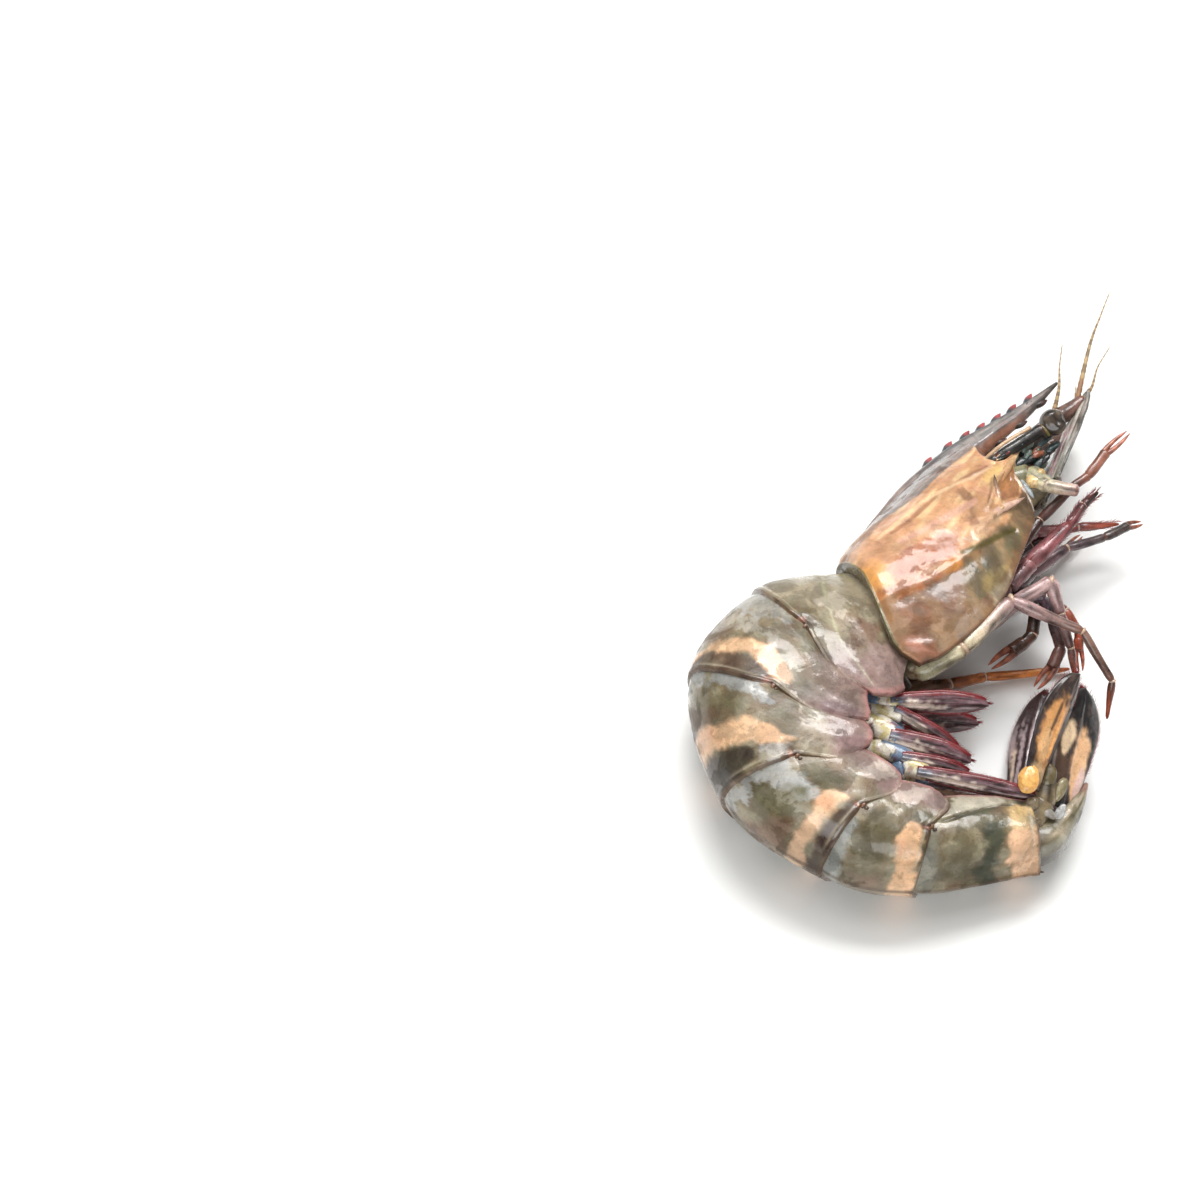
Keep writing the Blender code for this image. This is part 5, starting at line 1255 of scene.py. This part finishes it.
def head():
    """Eye stalks, feeler bases, scales and the tissue between them."""
    batch, soft = Batch(), Batch()
    for joints in STALKS:
        limb(batch, joints, [rgb(52, 54, 46), rgb(42, 40, 36), rgb(46, 42, 40)])
        a, b = np.array(joints[1][:3]), np.array(joints[2][:3])
        for _ in range(80):
            share, turn = random.uniform(-0.5, 0.95), random.uniform(0, np.pi)
            centre = a * (1 - share) + b * share + (0.9 * math.sin(turn), -1.2 * math.cos(turn),
                                                    1.1 * math.sin(turn))
            colour = random.choice([rgb(136, 50, 44), rgb(206, 160, 120), rgb(80, 96, 96), rgb(22, 22, 24),
                                    rgb(30, 28, 28)])
            ball(soft, centre, (0.3, 0.22, random.uniform(0.4, 1.1)), colour, 7, 9, (1, 0.7, 0.3), 0.2)
    tube(batch, smooth_path([(17.5, 43.0, 18.6), (24.5, 48.4, 21.6), (31.5, 52.6, 23.0)], 20), 0.5, 0.3,
         rgb(196, 160, 122), 10)
    for joints, colours in FEELER_BASES:
        limb(soft, joints, colours, rgb(196, 176, 156), range(2, len(joints) - 1))
    # Lumpy dark tissue round the roots of stalk and feelers
    for _ in range(60):
        share = random.uniform(0, 1)
        centre = (20 + 15 * share + random.uniform(-2.5, 2.5), 42 + 7 * share + random.uniform(-3.5, 2.5),
                  17.0 + 2.5 * share + random.uniform(-1.5, 1.2))
        colour = random.choice([rgb(54, 70, 70), rgb(38, 46, 46), rgb(112, 126, 116), rgb(78, 86, 68),
                                rgb(30, 32, 34), rgb(150, 90, 66)])
        ball(soft, centre, (random.uniform(0.5, 1.1), random.uniform(0.5, 0.9), random.uniform(1.0, 2.6)),
             colour, 9, 12,
             (random.uniform(0.3, 1), random.uniform(0.3, 1), random.uniform(-0.2, 0.5)), 0.35)
    for centre, radii, colour, axis in (
            ((31.4, 38.6, 21.0), (2.2, 1.4, 2.0), rgb(240, 204, 146), (1, -0.4, 0.2)),
            ((32.9, 39.9, 21.6), (1.2, 0.9, 1.5), rgb(214, 178, 120), (0.4, 1, 0.2)),
            ((29.6, 36.4, 20.8), (0.7, 0.5, 3.2), rgb(160, 170, 172), (0.45, -1, 0.05)),
            ((34.6, 38.6, 21.0), (1.2, 0.9, 2.2), rgb(150, 168, 146), (0.5, -1, 0.2)),
            ((35.6, 36.6, 21.8), (1.1, 0.9, 1.6), rgb(190, 196, 172), (1, -0.5, 0.2))):
        ball(soft, centre, radii, colour, 14, 18, axis, 0.18)
    batch.finish("eye_stalks", LIMB, "eye")
    soft.finish("feeler_bases", LIMB, "limb")
    scales, edge_hair = Batch(), Batch()
    for base, tip in (((35.6, 39.6, 19.6), (46.4, 66.0, 19.6)), ((34.6, 42.4, 5.6), (44.6, 65.4, 5.4))):
        made = leaf(scales, base, tip, 4.4, (0.45, -0.2, 0.9), paint_scale, 1.1, 0.75,
                    ridges=((0.1, 0.5), (-0.5, 0.2)))
        fringe(edge_hair, *made, 0.35, 1.1, rgb(150, 120, 110), (-1,), 0.07)
    scales.finish("scales", LIMB, "limb")
    edge_hair.finish("scale_hairs", BRISTLE, "feeler")


def eyes():
    """Glossy dark eyes, slightly dented, each with a yellow-green ring at its base."""
    batch = Batch()
    for centre, axis in (((36.8, 53.6, 23.6), (0.75, 0.55, 0.35)), ((31.0, 58.5, 4.6), (0.5, 0.8, -0.3))):
        centre = np.array(centre)
        axis = unit(axis)
        rows, sides, radius = 40, 48, 3.3
        turn = np.linspace(0.03, np.pi - 0.03, rows)
        path = centre - np.outer(np.cos(turn), axis) * radius * 0.96
        points = tube_points(path, np.sin(turn) * radius, np.sin(turn) * radius * 0.92, sides)
        out = (points - centre) / np.linalg.norm(points - centre, axis=1)[:, None]
        for way, depth in (((0.5, -0.2, 0.85), 0.6), ((-0.1, -0.6, 0.75), 0.45), ((0.9, 0.3, 0.1), 0.4)):
            way = unit(way)
            points -= out * (depth * ramp(out @ way, 0.72, 0.98))[:, None]
        shade = field(points, 1.8, 71)
        along = (points - centre) @ axis
        tint = coats(plain(rgb(78, 66, 56), len(points)), (
            (rgb(38, 32, 30), ramp(shade, -0.1, 0.4) * 0.8),
            (rgb(136, 120, 106), ramp(-shade, 0.15, 0.5) * 0.6),
            (rgb(150, 142, 86), (1 - ramp(along, -radius * 0.86, -radius * 0.72)) * 0.9),
        ))
        batch.add(points, ring_faces(rows, sides), tint)
        share = np.linspace(-1, 1, 7)
        path = centre - axis * radius * 0.84 + np.outer(share * 0.4, axis)
        swell = np.sqrt(1.05 - share ** 2 * 0.3)
        tube(batch, path, 1.95 * swell, 1.85 * swell, rgb(128, 118, 70), 24)
        tube(batch, path - axis * 0.8, 1.8 * swell, 1.7 * swell, rgb(58, 52, 44), 24)
    batch.finish("eyes", EYE_SKIN, "eye")


FEELERS = [
    [(43.8, 63.4, 18.4), (47.9, 78.3, 22.0), (51.0, 86.0, 24.0), (53.5, 92.1, 25.0)],
    [(44.6, 63.6, 18.0), (48.4, 70.5, 15.4), (51.0, 78.7, 13.0), (54.9, 86.6, 11.0)],
    [(37.6, 58.6, 18.0), (39.6, 66.0, 20.4), (40.2, 72.2, 21.6), (41.3, 78.3, 22.0)],
    [(42.6, 63.0, 7.2), (45.0, 68.0, 6.0), (46.0, 74.0, 5.0), (47.0, 80.0, 4.0)],
]


def feelers():
    """The short banded feelers."""
    batch = Batch()
    for points in FEELERS:
        steps = 90
        path = smooth_path(points, steps)
        share = np.linspace(0, 1, steps)
        radius = (0.62 * (1 - share) ** 2.2 + 0.13) * (1 + 0.12 * np.sin(share * 190))
        band = 0.5 + 0.5 * np.sign(np.sin(share * 75))
        tints = np.array([rgb(206, 176, 130) * (1 - b * 0.6) + rgb(96, 72, 54) * b * 0.6 for b in band])
        tints[:12] = rgb(170, 128, 92)
        tube(batch, path, radius, radius, tints, 8)
    batch.finish("feelers", BRISTLE, "feeler")


head()
eyes()
feelers()


# Swimmerets

SWIMMERETS = [
    ([(-14.0, -16.0, 15.0, 3.0), (-8.7, -19.0, 17.6, 3.0), (-2.6, -20.6, 18.2, 2.2)], (16.8, -20.3, 17.0),
     2.8),
    ([(-15.0, -20.0, 15.0, 3.0), (-9.4, -21.6, 16.8, 2.8), (-2.0, -24.0, 17.8, 2.0)], (9.8, -30.1, 14.0),
     1.9),
    ([(-15.0, -25.0, 15.0, 3.2), (-8.8, -26.4, 17.6, 3.2), (-3.2, -30.2, 18.0, 2.4)], (12.2, -34.5, 16.0),
     2.8),
    ([(-12.0, -31.0, 14.0, 3.0), (-7.0, -32.0, 16.4, 2.8), (-0.8, -35.0, 17.2, 2.0)], (11.8, -37.2, 15.0),
     2.0),
    ([(-6.0, -38.0, 13.0, 3.0), (-2.6, -36.4, 16.0, 2.6), (2.4, -38.6, 17.0, 1.9)], (26.0, -43.1, 15.0),
     2.2),
]


def paint_stem(points, seed):
    """White stem with slanted blue and yellow patches, dark lines where they meet."""
    slant = points[:, 0] * 0.9 + points[:, 1] * 0.35
    wave = field(points, 2.6, seed) * 2.4 + field(points, 0.9, seed + 3) * 0.5
    cycle = np.sin((slant + wave) / 1.5 + seed)
    return coats(plain(rgb(242, 232, 214), len(points)), (
        (rgb(74, 112, 150), ramp(cycle, 0.35, 0.5) * 0.9),
        (rgb(206, 190, 120), ramp(-cycle, 0.72, 0.85) * 0.8),
        (rgb(50, 42, 50), between(cycle, 0.22, 0.42, 0.05) * 0.85),
        (rgb(140, 62, 62), ramp(field(points, 1.4, seed + 7), 0.3, 0.5) * 0.5),
    ))


def paint_blade(share, place, points):
    """Dark purple-red blade with red edges, pale streaks at its root and a painted highlight streak along
    one side.
    """
    rough = field(points, 1.2, 41)
    streak = field(np.c_[share * 3, place * 6, share * 0 + points[:, 1]], 1.0, 43)
    return coats(plain(rgb(84, 56, 58), len(share)), (
        (rgb(136, 104, 112), ramp(streak + 0.3 * rough, 0.0, 0.3) * 0.7),
        (rgb(40, 30, 30), ramp(-streak, 0.05, 0.3) * 0.75),
        (rgb(224, 204, 188), spot(share, place, (0.18, -0.1), (0.34, 0.5), 0, 0.4, 0.9 * rough) * 0.9),
        (rgb(96, 112, 132), spot(share, place, (0.03, 0.3), (0.12, 0.5), 0, 0.4, 0.5 * rough) * 0.7),
        # Pale pink streak along one side of the blade: painted highlight
        (rgb(198, 168, 166),
         stroke(share, place, [(0.2, -0.45), (0.85, -0.3)], 0.05, 0.03, 0.05 * rough) * 0.7),
        (rgb(130, 36, 40), ramp(np.abs(place) + 0.1 * rough, 0.72, 0.88) * 0.9),
    ))


def swimmerets():
    """Five pairs of swimmerets: banded stems and dark blades fringed with red hairs."""
    stems, blades, hair = Batch(), Batch(), Batch()
    for index, (stem, tip, half_width) in enumerate(SWIMMERETS):
        for left in (False, True):
            joints = [tuple(j) for j in stem]
            end = tip
            if left:
                joints = [(x + 1.0, y + 1.5, 27.0 - z - 1.0, r) for x, y, z, r in joints]
                end = (tip[0] - 1.0, tip[1] + 2.0, 27.0 - tip[2] - 4.0)
            line = smooth_path([j[:3] for j in joints], 60)
            share = np.linspace(0, 1, 60)
            radius = np.interp(share, [0, 0.5, 1], [j[3] for j in joints]) * 0.95
            radius = radius * (1 - 0.10 * hump(share - 0.5, 0.03))
            radius[-3:] *= (0.92, 0.75, 0.45)
            radius[0] *= 0.5
            points = tube_points(line, radius, radius * 0.72, 26)
            stems.add(points, ring_faces(60, 26), paint_stem(points, index * 1.7 + left))
            reach = np.array(end) - np.array(joints[2][:3])
            base = np.array(joints[2][:3]) - unit(reach) * 2.6
            made = leaf(blades, base, end, half_width, (0.2, 0.5, 0.8), paint_blade, 1.0, 0.6, 44, 20,
                        ridges=((-0.35, 0.3), (0.3, 0.35)), camber=0.35, seed=50 + index)
            fringe(hair, *made, 0.3, 1.3, rgb(160, 56, 62), (-1, 1), 0.08)
            for column in (0, -1):
                tube(blades, made[0][2:-1, column], 0.3, 0.3, rgb(134, 40, 44), 8)
    stems.finish("swimmeret_stems", BLADE, "swimmeret")
    blades.finish("swimmeret_blades", BLADE, "swimmeret")
    hair.finish("swimmeret_hairs", BRISTLE, "swimmeret")


swimmerets()


# Tail fan

PADDLES = [
    ((24.8, -42.4, 17.0), (35.6, -18.0, 25.4), 5.0, (-0.62, 0.24, 0.75), 0.8),
    ((31.0, -43.8, 11.2), (37.6, -18.4, 19.8), 6.8, (-0.75, 0.28, 0.60), 1.0),
    ((23.4, -41.0, 6.4), (32.0, -9.4, 4.6), 5.8, (-0.90, 0.22, -0.36), 1.0),
    ((28.6, -41.0, 5.8), (38.0, -14.6, 4.6), 5.2, (-0.88, 0.24, -0.40), 1.0),
]
STEMS = [[(24.0, -48.0, 11.6, 3.6), (27.4, -43.6, 13.6, 2.9), (28.6, -39.6, 15.4, 2.2)],
         [(24.0, -48.0, 6.6, 3.4), (27.0, -43.0, 5.6, 3.2), (28.0, -37.0, 5.4, 2.2)]]
TELSON = [((22.0, -52.4, 8.6), 5.6, 5.0), ((27.6, -50.6, 8.8), 5.4, 4.4), ((32.0, -46.4, 9.0), 3.6, 3.4),
          ((35.6, -41.4, 9.2), 2.2, 2.2), ((38.2, -36.6, 9.4), 0.5, 0.5)]


def paint_outer(share, place, points):
    """Dark paddle with a long orange patch, split by a brown streak."""
    rough = field(points, 1.8, 61) * 0.7 + field(points, 0.7, 62) * 0.4
    return coats(plain(rgb(58, 46, 42), len(share)), (
        (rgb(104, 84, 76), ramp(rough, 0.0, 0.4) * 0.6),
        (rgb(232, 168, 104), spot(share, place, (0.47, 0.12), (0.31, 0.66), 0, 0.2, 0.35 * rough) * 0.97),
        (rgb(240, 196, 144), spot(share, place, (0.36, 0.2), (0.14, 0.35), 0, 0.5, 0.5 * rough) * 0.7),
        (rgb(92, 68, 52), spot(share, place, (0.60, 0.12), (0.17, 0.10), 0, 0.4, 0.6 * rough) * 0.9),
        (rgb(98, 66, 50), spot(share, place, (0.42, -0.62), (0.3, 0.12), 0, 0.4, 0.5 * rough) * 0.8),
        (rgb(232, 196, 150), spot(share, place, (0.10, 0.2), (0.10, 0.5), 0, 0.4, 0.4 * rough) * 0.7),
        (rgb(150, 132, 124),
         stroke(share, place, [(0.3, -0.5), (0.95, -0.1)], 0.035, 0.03, 0.03 * rough) * 0.7),
        (rgb(44, 34, 34), ramp(np.abs(place) + 0.1 * rough, 0.86, 0.95) * 0.85),
    ))


def paint_inner(share, place, points):
    """Black paddle with a pale oval and a pink-orange patch near its root."""
    rough = field(points, 1.8, 63) * 0.7 + field(points, 0.7, 64) * 0.4
    return coats(plain(rgb(36, 32, 32), len(share)), (
        (rgb(84, 70, 64), ramp(rough, 0.1, 0.4) * 0.6),
        (rgb(112, 84, 66), spot(share, place, (0.3, 0.5), (0.2, 0.5), 0, 0.5, 0.5 * rough) * 0.6),
        (rgb(255, 222, 182), spot(share, place, (0.57, 0.30), (0.13, 0.24), 0.2, 0.2, 0.25 * rough) * 0.97),
        (rgb(255, 202, 152),
         spot(share, place, (0.37, -0.42), (0.28, 0.44), -0.3, 0.2, 0.3 * rough) * 0.97),
        (rgb(240, 200, 188), spot(share, place, (0.22, -0.66), (0.14, 0.26), 0.0, 0.3, 0.35 * rough) * 0.9),
        (rgb(170, 156, 150),
         stroke(share, place, [(0.1, 0.75), (0.9, 0.75)], 0.035, 0.03, 0.03 * rough) * 0.8),
        (rgb(124, 96, 84), stroke(share, place, [(0.1, 0.05), (0.7, 0.0)], 0.03, 0.03, 0.03 * rough) * 0.6),
        (rgb(140, 46, 46),
         ramp(np.abs(place) + 0.06 * rough, 0.93, 0.99) * (1 - ramp(share, 0.5, 0.7)) * 0.7),
    ))


def paint_under(share, place, points):
    """Dark purple paddle with mauve streaks, a white-pink painted highlight near one edge and a red rim."""
    rough = field(points, 1.0, 65)
    streak = field(np.c_[share * 3, place * 5, share * 0], 1.0, 66)
    return coats(plain(rgb(72, 58, 60), len(share)), (
        (rgb(184, 164, 166), ramp(streak + 0.4 * rough, -0.25, 0.1) * (1 - ramp(share, 0.6, 0.85)) * 0.85),
        # White-pink spot near the edge: painted highlight
        (rgb(226, 200, 180), spot(share, place, (0.35, 0.75), (0.16, 0.14), 0, 0.4, 0.5 * rough) * 0.8),
        (rgb(44, 34, 36), ramp(-streak + 0.3 * rough, 0.2, 0.5) * 0.7),
        (rgb(116, 34, 36), ramp(share + 0.02 * rough, 0.93, 0.98) * 0.7),
    ))


def paint_telson(along, angle, points):
    """Olive-green middle plate with dark outlines, a pale streak and painted shade at its root, under the
    last segment.
    """
    rough = field(points, 2.4, 81)
    streak = field(np.c_[along * 1.2, np.cos(angle) * 4, np.sin(angle) * 4], 1.0, 82)
    return coats(plain(rgb(134, 124, 98), len(points)), (
        (rgb(88, 82, 62), ramp(streak, 0.0, 0.4) * 0.8),
        (rgb(196, 180, 156), ramp(-streak + 0.3 * rough, 0.1, 0.4) * 0.7),
        # Darker at its root, under the last segment: painted shade
        (rgb(66, 56, 44), (1 - ramp(along, 0.6, 1.2)) * 0.7),
        (rgb(60, 54, 44), between(np.cos(angle), 0.9, 1.1, 0.05) * 0.8),
        (rgb(206, 204, 190), between(np.cos(angle), 0.62, 0.8, 0.06) * 0.5),
        (rgb(176, 130, 116), ramp(along, 3.1, 3.8) * 0.7),
    ))


# Soft parts at the fan's root: centre, radii, colour, long axis
ROOT_LUMPS = [
    ((23.8, -41.6, 19.5), (2.3, 1.2, 3.3), rgb(246, 184, 104), (0.25, 1, 0.3)),
    ((24.8, -45.4, 15.6), (1.5, 0.8, 1.6), rgb(140, 124, 96), (0.3, 1, 0.3)),
    ((28.6, -39.4, 16.6), (1.8, 1.2, 3.2), rgb(104, 92, 64), (0.25, 1, 0.5)),
    ((31.2, -41.4, 14.6), (1.3, 1.0, 3.0), rgb(150, 138, 104), (0.5, 1, 0.4)),
    ((27.4, -46.4, 14.2), (1.2, 0.7, 3.2), rgb(176, 170, 160), (1, -0.5, -0.2)),
    ((30.8, -46.4, 12.4), (1.1, 0.6, 2.8), rgb(190, 190, 188), (0.6, 1.0, 0.3)),
]


def tail_fan():
    """Paddles, their stems, the telson and the soft parts at its root."""
    plates, hair, stems = Batch(), Batch(), Batch()
    paints = (paint_outer, paint_inner, paint_under, paint_under)
    ridge_sets = (((-0.35, 0.5), (0.75, 0.2)), ((0.75, 0.45), (0.0, 0.35)), ((0.1, 0.4),), ((0.0, 0.4),))
    for index, (base, tip, half_width, spread, right) in enumerate(PADDLES):
        made = leaf(plates, base, tip, half_width, spread, paints[index], 1.0, 0.55, 60, 36,
                    ridge_sets[index], seed=70 + index, point=(0.5, 0.62, 0.5, 0.5)[index], right=right,
                    bow=(1.3, 0, 0, 0)[index])
        fringe(hair, *made, 0.35 if index else 0.75, 1.3, rgb(160, 54, 58), (-1, 1), 0.08)
    for joints, colours in zip(STEMS, ([rgb(120, 108, 84), rgb(150, 132, 100), rgb(92, 78, 60)],
                                      [rgb(110, 96, 80), rgb(90, 78, 66), rgb(76, 64, 60)])):
        limb(stems, joints, colours)
    for centre, radii, colour, axis in ROOT_LUMPS:
        ball(stems, centre, radii, colour, 18, 24, axis, 0.12)
    rows, sides = 60, 36
    place = np.linspace(0, 4, rows)
    path = curve([k[0] for k in TELSON], place)
    deep, wide = curve([k[1] for k in TELSON], place), curve([k[2] for k in TELSON], place)
    angle = 2 * np.pi * np.arange(sides) / sides
    groove = 1 - 0.16 * hump(np.cos(angle) - 1, 0.12)
    points = tube_points(path, deep, wide, sides, groove)
    tint = paint_telson(np.repeat(place, sides), np.tile(angle, rows), points)
    stems.add(points, ring_faces(rows, sides), tint)
    plates.finish("tail_paddles", FAN, "tail_fan")
    stems.finish("telson_and_stems", FAN, "tail_fan")
    hair.finish("tail_hairs", BRISTLE, "tail_fan")


tail_fan()


# Floor, light and camera

def studio():
    """Pale floor, long soft light above and behind, wide overhead light, front fill, even surround."""
    bpy.ops.mesh.primitive_plane_add(size=4.0, location=(0, 0, 0))
    floor = bpy.context.object
    floor.name = "floor"
    material = bpy.data.materials.new("pale_table")
    material.use_nodes = True
    shader = material.node_tree.nodes["Principled BSDF"]
    shader.inputs["Base Color"].default_value = (0.93, 0.935, 0.92, 1.0)
    shader.inputs["Roughness"].default_value = 0.35
    floor.data.materials.append(material)
    world = bpy.context.scene.world or bpy.data.worlds.new("world")
    bpy.context.scene.world = world
    world.use_nodes = True
    background = world.node_tree.nodes["Background"]
    background.inputs["Color"].default_value = (1.0, 0.99, 0.98, 1.0)
    background.inputs["Strength"].default_value = 0.22

    def lamp(direction, distance, size, power):
        data = bpy.data.lights.new("lamp", "AREA")
        data.shape = "RECTANGLE"
        data.size, data.size_y = size
        data.energy = power
        light = bpy.data.objects.new("lamp", data)
        bpy.context.scene.collection.objects.link(light)
        way = Vector(direction).normalized()
        light.location = way * distance
        light.rotation_mode = "QUATERNION"
        light.rotation_quaternion = way.to_track_quat("Z", "Y")

    lamp((0.06, 0.51, 0.85), 0.75, (0.64, 0.24), 4.5)
    lamp((-0.1, 0.25, 0.95), 1.3, (1.5, 1.1), 6.6)
    lamp((-0.2, -0.8, 0.6), 1.0, (0.9, 0.5), 4.2)


def camera():
    """Camera at the photograph's viewing angle."""
    data = bpy.data.cameras.new("camera")
    data.lens = LENS
    data.sensor_width = SENSOR
    data.clip_start, data.clip_end = 0.01, 20.0
    eye = bpy.data.objects.new("camera", data)
    bpy.context.scene.collection.objects.link(eye)
    eye.location = Vector((CAMERA_PLACE - CENTRE) * MM)
    eye.rotation_euler = (math.radians(CAMERA_TILT), 0, 0)
    bpy.context.scene.camera = eye


studio()
camera()
bpy.context.scene.view_settings.view_transform = "Standard"
